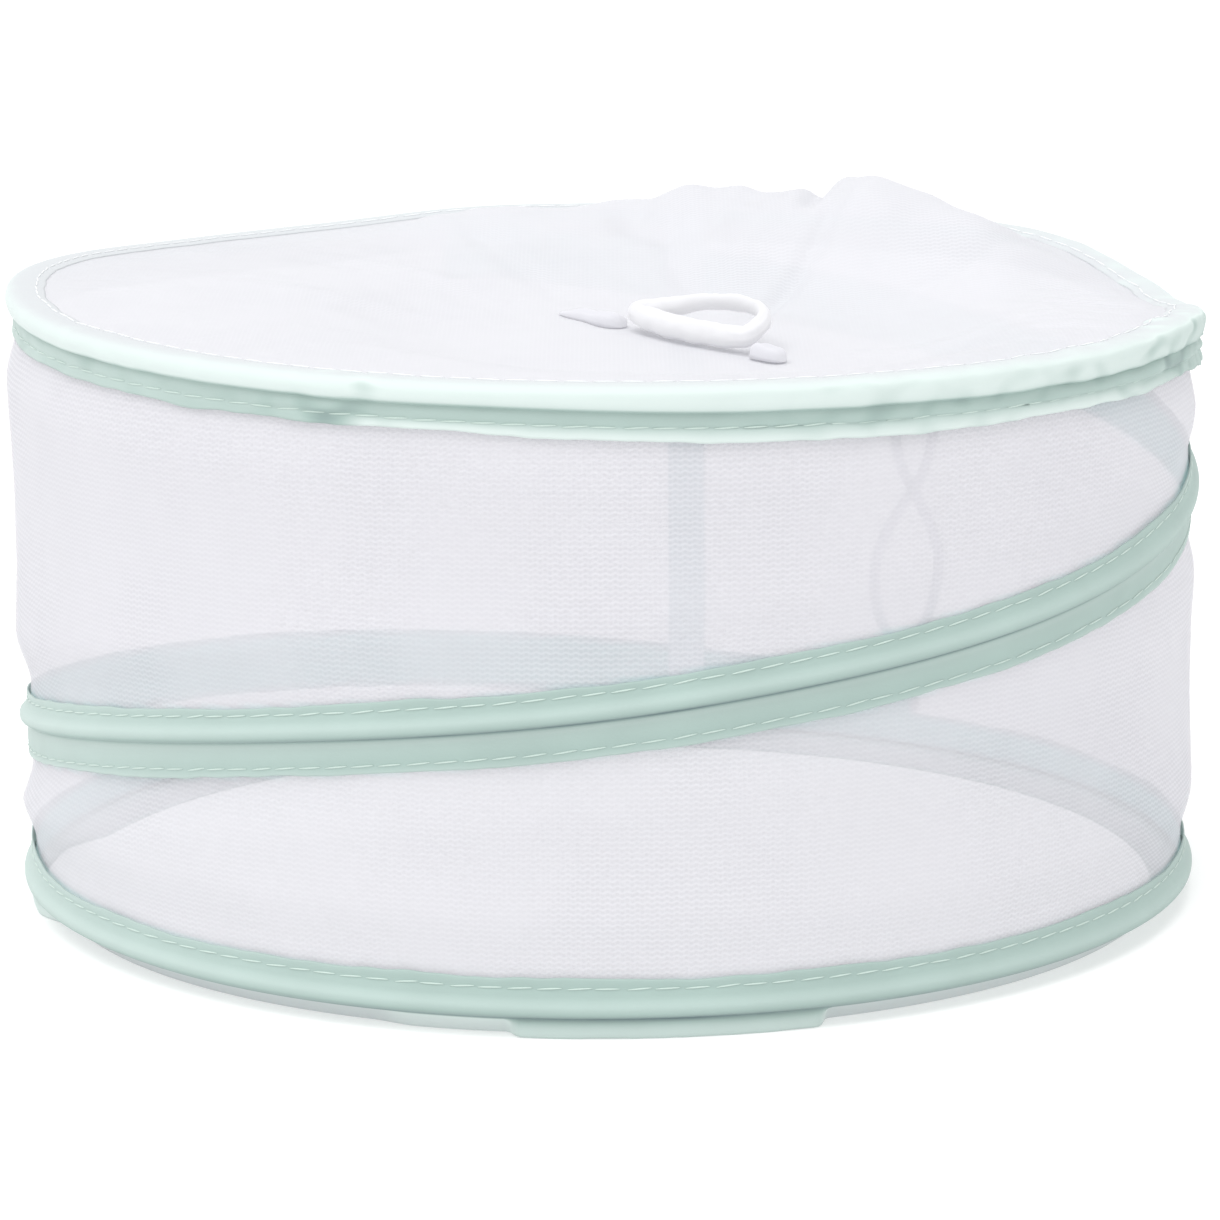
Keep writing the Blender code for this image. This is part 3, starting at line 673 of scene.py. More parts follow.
@dataclass(frozen=True)
class RibbedElastic:
    """Flat elastic with ribs along its length."""
    name: str
    colour: Colour
    groove_shade: Colour
    ribs: float = 0.52 * MM

    def make(self) -> bpy.types.Material:
        """The material."""
        bench = Bench(self.name)
        along, across = bench.cloth()
        rib = (across / self.ribs).wave()
        stretch = (along / (0.8 * MM)).wave()
        fibre = bench.grain(bench.place(), 1500.0, 2.0)
        # The hollows between the ribs are painted a darker colour, a painted shade in the recesses.
        colour = bench.mix(rib * 0.7, self.colour, self.groove_shade)
        relief = (1 - rib) * 0.7 + stretch * 0.2 + fibre * 0.1
        # The emission is a painted glow.
        return bench.finish(Base_Color=colour, Roughness=0.6 + fibre * 0.2, Sheen_Weight=0.1,
                            Emission_Color=self.colour, Emission_Strength=0.15,
                            Normal=bench.bump(relief, 0.12 * MM, 0.6))


@dataclass(frozen=True)
class DrawnMetal:
    """Drawn or pressed steel with fine lines and dull patches."""
    name: str
    colour: Colour
    roughness: float
    lines: float = 2500.0

    def make(self) -> bpy.types.Material:
        """The material."""
        bench = Bench(self.name)
        place = bench.place()
        patches = bench.grain(place, 160.0, 3.0)
        scratch = bench.grain(place, self.lines, 2.0, 0.7)
        colour = bench.mix(patches * scratch, self.colour, shaded(self.colour, 0.72))
        return bench.finish(Base_Color=colour, Metallic=1.0, Roughness=self.roughness + patches * 0.2,
                            Normal=bench.bump(scratch, 0.02 * MM, 0.3))


@dataclass(frozen=True)
class TipPlastic:
    """Matt moulded plastic with a faint grain."""
    name: str
    colour: Colour

    def make(self) -> bpy.types.Material:
        """The material."""
        bench = Bench(self.name)
        place = bench.place()
        grain = bench.grain(place, 1800.0, 2.0)
        cloud = bench.grain(place, 200.0, 2.0)
        colour = bench.mix(cloud * 0.5, self.colour, shaded(self.colour, 0.9))
        return bench.finish(Base_Color=colour, Roughness=0.42 + grain * 0.15,
                            Normal=bench.bump(grain, 0.02 * MM, 0.3))


@dataclass
class Finishes:
    """Every finish of the cover, made once."""
    wall: bpy.types.Material = field(init=False)
    panel: bpy.types.Material = field(init=False)
    tape: bpy.types.Material = field(init=False)
    seam: bpy.types.Material = field(init=False)
    thread: bpy.types.Material = field(init=False)
    highlit_thread: bpy.types.Material = field(init=False)
    webbing: bpy.types.Material = field(init=False)
    tape_end: bpy.types.Material = field(init=False)
    elastic: bpy.types.Material = field(init=False)
    steel: bpy.types.Material = field(init=False)
    crimp: bpy.types.Material = field(init=False)
    plastic: bpy.types.Material = field(init=False)

    def __post_init__(self) -> None:
        """Makes the materials."""
        self.wall = MeshCloth("wall_mesh", (0.68, 0.675, 0.71, 1), (0.63, 0.625, 0.665, 1), glow=0.09).make()
        self.panel = MeshCloth("panel_mesh", (0.640, 0.642, 0.670, 1), (0.62, 0.622, 0.655, 1), solid=0.77,
                               open=0.66, glow=0.12, clear=0.5).make()
        self.tape = WovenTape("mint_tape", (0.30, 0.40, 0.37, 1), (0.07, 0.12, 0.13, 1),
                              (0.570, 0.645, 0.625, 1), glow=0.11).make()
        self.seam = WovenTape("seam_tape", (0.58, 0.66, 0.69, 1), (0.25, 0.36, 0.37, 1),
                              (0.74, 0.80, 0.82, 1), glow=0.20).make()
        self.thread = SewingThread("mint_thread", (0.56, 0.68, 0.63, 1)).make()
        # The brim's stitches use the same sewing thread painted pale, a painted highlight that matches the
        # brim's.
        self.highlit_thread = SewingThread("highlit_thread", (0.86, 0.88, 0.89, 1)).make()
        # The webbing's strong emission is a painted glow that softens its shading; the tape ends are a copy
        # of it with a weaker painted glow, so they read a little shaded.
        self.webbing = WovenTape("white_webbing", (0.46, 0.46, 0.475, 1), (0.35, 0.35, 0.39, 1),
                                 (0.72, 0.72, 0.735, 1), pitch=0.7 * MM, gloss=0.6, glow=0.45).make()
        self.tape_end = WovenTape("shaded_folded_webbing", (0.465, 0.465, 0.49, 1), (0.36, 0.36, 0.40, 1),
                                  (0.72, 0.72, 0.74, 1), pitch=0.7 * MM, gloss=0.6, glow=0.40).make()
        self.elastic = RibbedElastic("pale_elastic", (0.76, 0.76, 0.79, 1), (0.62, 0.62, 0.67, 1)).make()
        self.steel = DrawnMetal("drawn_spring_steel", (0.56, 0.57, 0.58, 1), 0.28).make()
        self.crimp = DrawnMetal("crimped_steel", (0.62, 0.62, 0.60, 1), 0.38, 1200.0).make()
        self.plastic = TipPlastic("white_tip_plastic", (0.84, 0.84, 0.85, 1)).make()


# The hoops, the coil and their tapes


@dataclass
class Spot:
    """One point of a tape's section.

    Attributes:
        out: how far outwards from the wire it lies, in millimetres.
        up: how far upwards, in millimetres.
        fold: how much painted shade it takes for lying in a crease, from 0 to 1, or below 0 how much paler it
            is painted, mostly as a painted highlight.
        loose: how much the tape puckers outwards there, from 0 to 1.
        edge: how much it follows the tape's wavy edge, from 0 to 1.
    """
    out: float
    up: float
    fold: float = 0.0
    loose: float = 0.0
    edge: float = 0.0


@dataclass
class Casing:
    """A woven tape folded over a wire and sewn to the mesh along both its edges.

    Attributes:
        name: the piece's name.
        radii: radius of the wire's centre line.
        heights: height of the wire's centre line.
        first: angle where the tape starts, in degrees.
        last: angle where it ends.
        closed: whether it goes right round.
        columns: places along it.
        fine: rows between two spots of the section.
        thickness: of the tape.
        flange: how far the sewn edges lie inside the wire's centre line, in millimetres.
        roll: radius of the roll round the wire, in millimetres.
        pucker: how far the tape stands out between stitches, in millimetres.
        seed: moves the noise.
        paler_stretches: angle, spread and strength of the stretches that are paler.
        stitch_pitch: from one stitch to the next, in millimetres.
        stitch_length: of the thread that shows.
        stitch_width: of the thread.
        stitch_rise: how much of its width the thread's middle stands off the cloth, as a share.
        edge_waves: how a free edge wanders, in millimetres.
        puffs: where the tape puckers between stitches, and how far.
        swells: where it stands out more broadly.
        swell_share: how much more a swell counts than a pucker.
        dents: where hard folded tape is dented, in millimetres.
        humps: how far the dents shift it up and down.
        out_limit: how near to the wire the tape's middle may come, in millimetres.
        laid: the places of the tape's middle surface, by column and row, once it is built.
    """
    name: str
    radii: Table
    heights: Table
    first: float = -180.0
    last: float = 180.0
    closed: bool = True
    columns: int = 720
    fine: int = 2
    thickness: float = 0.42 * MM
    flange: float = -0.75
    roll: float = 1.65
    pucker: float = 0.22
    seed: float = 0.0
    paler_stretches: Bumps = ((-80.0, 46.0, 0.26),)
    stitch_pitch: float = 7.9
    stitch_length: float = 7.0
    stitch_width: float = 0.50
    stitch_rise: float = 0.20
    edge_waves: tuple[Waves, ...] = (Waves(34.0 * MM, 3.0, 0.75), Waves(7.5 * MM, 5.0, 0.40))
    puffs: Waves = Waves(8.5 * MM, 0.0, 0.9)
    swells: Waves = Waves(24.0 * MM, 9.0, 0.9)
    swell_share: float = 1.2
    dents: Waves = Waves(8.2 * MM, 12.0)
    humps: Waves = Waves(10.0 * MM, 15.0, 0.34)
    out_limit: float = 1.3
    laid: Optional[np.ndarray] = None

    def section(self, angle: float) -> list[Spot]:
        """The tape's section at an angle, from its upper edge to its lower one."""
        raise NotImplementedError

    def crinkle(self, angle: float) -> float:
        """How strongly the tape is crinkled at an angle, 1 for plain cloth."""
        return 1.0

    def bulge(self, angle: float, heights: np.ndarray) -> np.ndarray:
        """How far the tape stands out at an angle for some heights over the wire, in millimetres."""
        return np.zeros_like(heights)

    def edge_wave(self, angle: float, upper: bool) -> float:
        """How far a free edge wanders at an angle, in millimetres."""
        point = on_drum(angle, GAUGE, 0.03 if upper else -0.03)
        return sum(waves.at(point, self.seed) for waves in self.edge_waves) * self.crinkle(angle) ** 0.5

    def spots(self, angle: float) -> np.ndarray:
        """The section's points at an angle, smoothed and puckered: outwards, upwards and fold."""
        chain = self.section(angle)
        table = np.array([(s.out, s.up, s.fold, s.loose, s.edge) for s in chain])
        fine = through(table, np.arange((len(chain) - 1) * self.fine + 1) / self.fine)
        fine[:, 2] = np.clip(fine[:, 2], -2.0, 1.0)
        fine[:, 3:] = np.clip(fine[:, 3:], 0.0, 1.0)
        power = self.crinkle(angle)
        half = len(fine) / 2
        hard = max(power - 1.0, 0.0)
        for row, (out, up, fold, loose, edge) in enumerate(fine):
            point = on_drum(angle, GAUGE + 2 * MM, up * MM * 1.6 - out * MM)
            if loose > 0:
                puff = max(0.5 + self.puffs.at(point, self.seed), 0.0)
                swell = max(0.5 + self.swells.at(point, self.seed), 0.0)
                fine[row, 0] += loose * self.pucker * power * (puff + swell * self.swell_share)
            if edge > 0:
                fine[row, 1] += edge * self.edge_wave(angle, row < half)
            # Dents in hard folded tape are also painted in shade.
            if hard > 0:
                dent = self.dents.at(point, self.seed)
                fine[row] += (hard * (0.10 + 0.34 * dent), hard * self.humps.at(point, self.seed),
                              hard * 0.50 * max(-dent, 0.0), 0.0, 0.0)
        fine[:, 2] -= bumps(angle, self.paler_stretches)
        fine[:, 0] += self.bulge(angle, fine[:, 1])
        reach = np.hypot(fine[:, 0], fine[:, 1])
        close = (reach < self.out_limit) & (fine[:, 0] > 0)
        fine[close, :2] *= (self.out_limit / reach[close])[:, None]
        return fine[:, :3]

    def build(self, finish: bpy.types.Material) -> bpy.types.Object:
        """The tape's own cloth.

        Args:
            finish: its material.

        Returns:
            The piece.
        """
        angles = np.linspace(self.first, self.last, self.columns + 1)
        radii, heights = self.radii.at(angles), self.heights.at(angles)
        grid = np.array([self.spots(angle) for angle in angles])
        turn = np.radians(angles)[:, None]
        reach = radii[:, None] + grid[:, :, 0] * MM
        self.laid = np.stack([reach * np.sin(turn), -reach * np.cos(turn),
                              heights[:, None] + grid[:, :, 1] * MM], axis=2)
        if self.closed:
            self.laid[-1] = self.laid[0]
        spots, folds = self.laid[:, ::-1], grid[:, ::-1, 2]
        across = run_lengths(spots, 1)
        middle = spots[:, spots.shape[1] // 2: spots.shape[1] // 2 + 1]
        along = np.broadcast_to(run_lengths(middle, 0), across.shape)
        shape = mapped_grid(spots, np.stack([along, across], axis=2), folds, self.closed)
        return add_piece(self.name, shape, finish, self.thickness)

    def on_tape(self, angle: float, row: float) -> Vector:
        """The point of the tape's middle surface at an angle and a row of its section."""
        column = (angle - self.first) / (self.last - self.first) * self.columns
        left, low = min(int(column), self.columns - 1), min(int(row * self.fine), self.laid.shape[1] - 2)
        u, v = column - left, row * self.fine - low
        corners = self.laid[left:left + 2, low:low + 2]
        return Vector(corners[0, 0] * (1 - u) * (1 - v) + corners[1, 0] * u * (1 - v)
                      + corners[0, 1] * (1 - u) * v + corners[1, 1] * u * v)

    def stitches(self, name: str, row: float, finish: bpy.types.Material,
                 span: Optional[tuple[float, float]] = None) -> bpy.types.Object:
        """One line of stitches along the tape, each a short thread pulled a little into the cloth.

        Args:
            name: the piece's name.
            row: where the line lies across the section, as a number of its spots from the upper edge.
            finish: the thread's material.
            span: first and last angle, or the tape's own.

        Returns:
            The piece.
        """
        first, last = span or (self.first, self.last)
        run = math.radians(last - first) * float(self.radii.values.mean())
        count = int(run / (self.stitch_pitch * MM))
        each = (last - first) / count
        one = bmesh.new()
        bmesh.ops.create_uvsphere(one, u_segments=8, v_segments=6, radius=1.0,
                                  matrix=Matrix.Rotation(math.pi / 2, 4, "Y"))
        thread = bpy.data.meshes.new("one_stitch")
        one.to_mesh(thread)
        one.free()
        shape = bmesh.new()
        for index in range(count):
            drift = noise.noise(Vector((index * 0.83, self.seed, row)))
            middle = first + each * (index + 0.5 + drift * 0.12)
            half = each * self.stitch_length / self.stitch_pitch / 2
            start, centre, end = (self.on_tape(middle + half * side, row) for side in (-1, 0, 1))
            along = (end - start).normalized()
            across = (self.on_tape(middle, row - 0.4) - self.on_tape(middle, row + 0.4)).normalized()
            outward = along.cross(across).normalized()
            along = (along + across * (0.05 + 0.10 * drift)).normalized()
            lift = outward * (self.thickness / 2 + self.stitch_width * MM * self.stitch_rise)
            turn = Matrix((along, outward.cross(along), outward)).transposed().to_4x4()
            thin = self.stitch_width * MM / 2
            size = Matrix.Diagonal(((end - start).length / 2, thin, thin, 1))
            laid = thread.copy()
            laid.transform(Matrix.Translation((start + centre * 2 + end) / 4 + lift) @ turn @ size)
            shape.from_mesh(laid)
            bpy.data.meshes.remove(laid)
        bpy.data.meshes.remove(thread)
        return add_piece(name, shape, finish)


def roll_spots(flange: float, roll: float, rise: float, lift: float = 0.0) -> list[Spot]:
    """The tape from its upper edge down to the roll round the wire.

    Args:
        flange: how far the sewn edge lies from the wire, outwards, in millimetres.
        roll: radius of the roll.
        rise: height of the edge over the wire.
        lift: how far the roll stands above the wire's middle.

    Returns:
        The section's spots.
    """
    swell = 2.5 + lift
    part = rise - swell
    # The fold values paint a faint highlight on the roll's outer side and shade where it turns under.
    return [Spot(flange, swell + part, -0.05, 0.25, 1.0), Spot(flange, swell + part * 0.80, 0.0, 0.45, 0.7),
            Spot(flange, swell + part * 0.57, 0.03, 0.0, 0.2),
            Spot(flange + 0.10, swell + part * 0.36, 0.0, 0.7),
            Spot(flange + 0.50, swell + part * 0.10, -0.05, 0.5), Spot(roll * 0.42, 2.00 + lift, -0.14, 0.3),
            Spot(roll * 0.88, 1.15 + lift, -0.16, 0.2), Spot(roll * 1.0, 0.30 + lift, -0.08),
            Spot(roll * 0.95, -0.50 + lift, 0.05), Spot(roll * 0.70, -1.20 + lift, 0.35)]


@dataclass
class CoilCasing(Casing):
    """The tape over the climbing coil, cut short at both ends where it laps a hoop's tape.

    Attributes:
        rise: how far it reaches above the wire, in millimetres.
        fall: how far it reaches below.
        top: heights of the top hoop's wire.
        hem: height of the bottom hoop's wire.
        lift: how far the roll stands above the wire's middle, in millimetres.
        dark: angle, spread and strength of the stretches where the crease's painted shade is stronger.
    """
    rise: float = 7.9
    fall: float = 11.2
    top: Optional[Table] = None
    hem: float = 0.0
    lift: float = 0.4
    dark: Bumps = ((0.0, 26.0, 0.62), (60.0, 44.0, 0.62))

    def section(self, angle: float) -> list[Spot]:
        """The tape's section at an angle."""
        height = float(self.heights.at([angle])[0])
        rise = min(self.rise, (float(self.top.at([angle])[0]) - height) / MM - 2.95)
        fall = min(self.fall, (height - self.hem) / MM - 5.5)
        crease = 2.10 - self.lift
        part = max(fall - crease, 0.9)
        flange = self.flange
        # deep is the painted shade in the crease under the roll; the values below 0 after it paint the flange
        # paler, lifting the shade that the roll casts, and the lower edge paler too.
        deep = 0.40 + bumps(angle, self.dark)
        return roll_spots(flange, self.roll, rise, self.lift) + [
            Spot(0.10, -1.78 + self.lift, deep), Spot(flange + 0.05, -crease, deep * 1.05),
            Spot(flange, -crease - part * 0.09, -0.22), Spot(flange, -crease - part * 0.26, -0.12, 0.4),
            Spot(flange, -crease - part * 0.55, 0.0, 0.8),
            Spot(flange, -crease - part * 0.76, 0.05, 0.0, 0.1),
            Spot(flange, -crease - part * 0.90, -0.05, 0.5, 0.7), Spot(flange, -fall, -0.20, 0.3, 1.0)]


@dataclass
class TopCasing(Casing):
    """The tape over the top hoop: its brim lies on the panel and its lower edge hangs on the wall.

    Attributes:
        brim: how far it reaches inwards over the panel, in millimetres.
        brim_rise: height of the brim over the wire.
        fall: how far it reaches below the wire.
        sag: how much further it hangs in front and at the right.
        ragged: angle, spread and strength of the stretches where the tape was folded hard.
        lap_angle: where its ends lap.
        bulge_angle: where it stands out, folded double.
        wall: the wall that its lower edge is sewn to.
        brim_waves: how the brim's inner edge wanders where the tape was folded hard, in millimetres.
        brim_drift: how it wanders everywhere.
        shade_clouds: where the painted shade in the crease under the roll is stronger.
        bulge_spread: degrees over which the doubled tape stands out.
    """
    lap_angle: float = -22.5
    bulge_angle: float = 89.0
    brim: float = 9.5
    brim_rise: float = 3.0
    fall: float = 9.8
    sag: float = 2.6
    ragged: Bumps = ((88.0, 30.0, 1.5), (56.0, 22.0, 1.3), (24.0, 9.0, 0.8), (-24.0, 5.0, 1.4),
                     (-60.0, 40.0, 0.5), (150.0, 40.0, 0.8))
    wall: Optional["SideWall"] = None
    brim_waves: Waves = Waves(12.0 * MM, 21.0, 0.9)
    brim_drift: Waves = Waves(45.0 * MM, 23.0, 1.2)
    shade_clouds: Waves = Waves(50.0 * MM, 31.0)
    bulge_spread: float = 6.0

    def crinkle(self, angle: float) -> float:
        """How strongly the tape is crinkled at an angle."""
        return 1.0 + bumps(angle, self.ragged)

    def section(self, angle: float) -> list[Spot]:
        """The tape's section at an angle, from the brim's inner edge over the hoop to the lower edge."""
        roll, top = self.roll, self.brim_rise
        here = on_drum(angle, GAUGE, 0.0)
        wander = self.brim_waves.at(here, self.seed) * self.crinkle(angle) ** 0.7
        inner = -self.brim + max(wander + self.brim_drift.at(here, self.seed), -0.6)
        drop = ease((angle + 14) / 28) * ease((130 - angle) / 30)
        down = 0.3 + 1.2 * drop + 0.7 * near(angle, 60.0, 32.0)
        # dark is the painted shade in the crease under the roll, weaker at the right end; sheen is the
        # painted highlight on the roll, weaker there; the brim's spots carry the strongest painted highlight.
        dark = (-0.10 + 0.25 * (0.5 + self.shade_clouds.at(here, self.seed))) * (1 - 0.6 * near(angle, 92.0, 24.0))
        sheen = -0.95 + 0.70 * near(angle, 92.0, 26.0)
        low = self.hanging_spots(angle, drop, 2.65 + down, dark)
        return [Spot(inner, top - 0.86, -2.0), Spot(inner + 1.2, top - 0.47, -2.0),
                Spot(inner + 2.5, top - 0.12, -2.0), Spot(inner + 4.8, top + 0.08, -1.85),
                Spot(-2.4, top + 0.12, -1.75), Spot(-0.8, top + 0.02, -1.65), Spot(0.45, 2.62, -1.4),
                Spot(roll * 0.74, 1.95, sheen - 0.15, 0.2), Spot(roll * 0.97, 1.05, sheen, 0.3),
                Spot(roll * 1.03, 0.10 - down * 0.3, sheen, 0.3), Spot(roll * 1.0, -0.85 - down * 0.7, sheen),
                Spot(roll * 0.78, -1.65 - down, sheen * 0.8),
                Spot(0.55 + low[0].out - self.flange, -2.20 - down, dark), *low]

    def hanging_spots(self, angle: float, drop: float, crease: float, dark: float) -> list[Spot]:
        """The tape from the crease under the roll down to its lower edge, which lies on the wall.

        Args:
            angle: place round the hoop in degrees.
            drop: how much further it hangs there, from 0 to 1.
            crease: how far the crease lies below the wire, in millimetres.
            dark: how strong the painted shade in the crease is.

        Returns:
            The section's spots.
        """
        full = near(angle, 92.0, 24.0)
        lap = near(angle, self.lap_angle, 1.3)
        pleat = 0.25 * lap
        bright = 0.10 + 0.75 * ease((angle - self.lap_angle + 2) / 4) * ease((75 - angle) / 25)
        fall = self.fall + self.sag * drop
        level = float(self.heights.at([angle])[0])
        # The fold column paints shade at the crease and at the lap's pleat, and paints the lower strip paler.
        rows = ((0.0, dark + 0.05, 0.0, 0.0), (0.10, -0.08 + pleat, 0.3, 0.0),
                (0.30, -0.10 + pleat, 0.9, 0.0), (0.46, -0.08 + pleat, 0.8, 0.0),
                (0.60 - 0.12 * drop, -0.15, 0.0, 0.1), (0.82, -bright, 0.5, 0.7),
                (1.0, -bright * 1.15, 0.4, 1.0))
        ups = np.array([-crease - (fall - crease) * row[0] for row in rows])
        belly = self.wall.belly(np.full(len(ups), angle), level + ups * MM) / MM
        outs = [self.flange + rest + (0.55 * lap + 0.45) * (1 - row[0]) + 0.4 * full
                for row, rest in zip(rows, belly)]
        return [Spot(out, up, *row[1:]) for out, up, row in zip(outs, ups, rows)]

    def bulge(self, angle: float, heights: np.ndarray) -> np.ndarray:
        """How far the tape stands out where it was folded double at the right, in millimetres."""
        swell = 0.8 + 0.3 * np.exp(-((heights + 3.0) / 3.0) ** 2)
        return near(angle, self.bulge_angle, self.bulge_spread) * swell


@dataclass
class BottomCasing(Casing):
    """The tape over the bottom hoop: its hem turns in under the wire, and hangs straight in two places.

    Attributes:
        rise: how far it reaches above the wire, in millimetres.
        floor: height of the hem's flat foot under the wire.
        hanging: middle, half width, fade and fullness of the stretches that hang straight, in degrees.
        raised: where the tape reaches higher up the wall, and by how many millimetres.
        frayed: where its foot is frayed.
        fray: how ragged it is there, in millimetres.
    """
    rise: float = 8.5
    floor: float = 7.65
    hanging: tuple = ((5.5, 15.5, 2.2, 1.0), (-14.0, 9.0, 5.0, 0.30), (-88.0, 20.0, 8.0, 1.0))
    raised: Bumps = ((-88.0, 13.0, 2.6),)
    frayed: Bumps = ((5.5, 16.0, 1.0),)
    fray: Waves = Waves(9.0 * MM, 41.0, 0.55)

    def hang(self, angle: float) -> float:
        """How far the hem hangs straight at an angle, from 0 to 1."""
        return max(full * ease((half - abs(past(angle, middle))) / fade)
                   for middle, half, fade, full in self.hanging)

    def section(self, angle: float) -> list[Spot]:
        """The tape's section at an angle, from its upper edge to the hem's foot."""
        flange, floor = self.flange, self.floor
        share = self.hang(angle)
        fray = self.fray.at(on_drum(angle, GAUGE, 0.0), self.seed) * bumps(angle, self.frayed)
        foot = floor - max(0.25 * abs(fray), fray) * 2
        # deep is the painted shade in the crease under the roll; the tucked foot is painted pale as a strong
        # painted highlight, so that it hardly shows against the bright floor, and the hanging stretch is
        # painted paler.
        deep = 0.55 + 0.40 * near(angle, 2.0, 18.0)
        tucked = ((-2.6, -2.75, -0.35), (-5.44, -3.32, -1.3), (-7.0, -5.6, -1.6), (-8.0, -floor, -1.6),
                  (-9.1, -floor, -1.0), (-10.2, -floor, 0.0))
        hung = ((-0.62, -3.4, 0.05), (-0.45, -5.0, -0.35), (-0.55, -6.5, -0.45), (-0.75, -foot, -0.40),
                (-1.85, -floor, 0.0), (-2.95, -floor, 0.0))
        places = np.array(tucked) + (np.array(hung) - np.array(tucked)) * share
        low = [Spot(*place, 0.5 * share * (index < 3)) for index, place in enumerate(places)]
        return [*roll_spots(flange, self.roll, self.rise + bumps(angle, self.raised)),
                Spot(-0.15, -1.95, deep), Spot(flange, -2.40, deep * 0.9), *low]


# The wall and the panel


@dataclass
class SideWall:
    """The mesh wall, one sheet right round, sewn up at the back.

    Attributes:
        columns: places round it.
        rows: places up it.
        thickness: of the cloth.
        rings: rows of the CAD model's wall.
        slack: how far its soft wrinkles draw in, in metres.
        bands: for each tape on it, its wire's height by angle, how far it reaches above and below, and how
            far from there the cloth is still drawn in.
        bulges: where the cloth can belly out further, and by how many millimetres.
        least_bulge: how far it can belly out everywhere, in millimetres.
        pulls: the wrinkles that slant across it, as shares of the slack.
        sags: its broader hollows.
        slant: how far a wrinkle leads round the drum for each metre of height, in degrees.
        squash: how much slower the slanting wrinkles change with height than along.
        joint: angle of the sewn joint, where the cloth lies flat.
        seam_width: of the tape over the joint.
        seam_thickness: of that tape.
        seam_waves: how that tape stands in from the wall.
        radii: the CAD model's radii by angle and row.
        heights: its heights.
    """
    columns: int = 480
    rows: int = 72
    thickness: float = 0.30 * MM
    rings: int = 8
    slack: float = 0.9 * MM
    bands: tuple = ()
    bulges: Bumps = ((-88.0, 52.0, 2.8), (90.0, 46.0, 2.1), (96.0, 15.0, -0.4))
    least_bulge: float = 2.0
    pulls: tuple[Waves, ...] = (Waves(30.0 * MM, 4.0), Waves(16.0 * MM, 6.0, 0.5))
    sags: Waves = Waves(50.0 * MM, 8.0, 0.4)
    slant: float = 260.0
    squash: float = 0.35
    joint: float = 171.0
    seam_width: float = 12.0 * MM
    seam_thickness: float = 0.4 * MM
    seam_waves: Waves = Waves(20.0 * MM, 2.0, 0.25 * MM)
    radii: Table = field(init=False)
    heights: Table = field(init=False)

    def __post_init__(self) -> None:
        """Reads the wall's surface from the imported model."""
        angle, radius, height = polar(node_points("side_mesh_wall"))
        radii, heights = [], []
        for middle in np.arange(-FULL / 2, FULL / 2, STEP):
            close = np.abs(past(angle, middle)) < SLICE
            low, high = height[close].min(), height[close].max()
            ring = np.rint((height[close] - low) / (high - low) * self.rings).astype(int)
            radii.append([radius[close][ring == k].mean() for k in range(self.rings + 1)])
            heights.append([height[close][ring == k].mean() for k in range(self.rings + 1)])
        self.radii, self.heights = Table(np.array(radii)), Table(np.array(heights))

    def wrinkle(self, angle: float, height: float) -> float:
        """How far the cloth draws in at a place, in metres."""
        lean = on_drum(angle + height * self.slant, GAUGE, height * self.squash)
        pulls = sum(max(waves.at(lean), 0.0) for waves in self.pulls)
        return self.slack * (pulls + max(self.sags.at(on_drum(angle, GAUGE, height)), 0.0))

    def slack_out(self, angles: np.ndarray) -> np.ndarray:
        """How far the cloth can belly out between two tapes, in metres."""
        return np.array([self.least_bulge + bumps(angle, self.bulges) for angle in angles]) * MM

    def belly(self, angles: np.ndarray, heights: np.ndarray) -> np.ndarray:
        """How far the cloth bellies out at some places, in metres."""
        return self.slack_out(angles) * self.free(angles, heights)

    def free(self, angles: np.ndarray, heights: np.ndarray) -> np.ndarray:
        """How freely the cloth hangs at some places, 0 where it is sewn to a tape.

        Args:
            angles: places round the drum in degrees.
            heights: heights of the places.

        Returns:
            A share from 0 to 1 for each place.
        """
        heights = np.asarray(heights, float)
        share = np.ones(len(angles))
        for middle, above, below, drawn in self.bands:
            level = middle(angles)
            away = np.maximum(np.maximum(heights - level - above, level - below - heights), 0)
            share = np.minimum(share, np.clip((away - 1.5 * MM) / drawn, 0, 1))
        return share * share * (3 - 2 * share)

    def lining(self, angles: np.ndarray, heights: np.ndarray) -> np.ndarray:
        """How much tape lies behind the cloth at some places, from 0 to 1."""
        share = np.zeros(len(angles))
        for middle, above, below, drawn in self.bands:
            level = middle(angles)
            inside = np.minimum(level + above - heights, heights - level + below)
            share = np.maximum(share, np.clip(inside / (2 * MM), 0, 1))
        return share

    def build(self, finish: bpy.types.Material) -> bpy.types.Object:
        """The wall's cloth."""
        angles = np.linspace(-FULL / 2, FULL / 2, self.columns + 1)
        spots = np.empty((self.columns + 1, self.rows + 1, 3))
        backlit_tape = np.zeros((self.columns + 1, self.rows + 1))
        for row in range(self.rows + 1):
            share = row / self.rows * self.rings
            radii, heights = self.radii.at(angles, share), self.heights.at(angles, share)
            radii = radii + self.belly(angles, heights)
            free = self.free(angles, heights)
            # The lining share is where the wall's finish paints the tint of backlit tape, a painted light.
            backlit_tape[:, row] = self.lining(angles, heights)
            calm = ease(min(row, self.rows - row) / self.rows * 8)
            for column, angle in enumerate(angles):
                inward = self.wrinkle(angle, heights[column]) * calm * free[column]
                inward *= 1 - near(angle, self.joint, 5.0)
                spots[column, row] = on_drum(angle, radii[column] - inward, heights[column])
        spots[-1] = spots[0]
        around = np.radians(angles + FULL / 2)[:, None] * float(self.radii.values.max())
        lengths = np.stack([np.broadcast_to(around, spots.shape[:2]), run_lengths(spots, 1)], axis=2)
        shape = mapped_grid(spots, lengths, backlit_tape, True)
        return add_piece("wall_cloth", shape, finish, self.thickness)

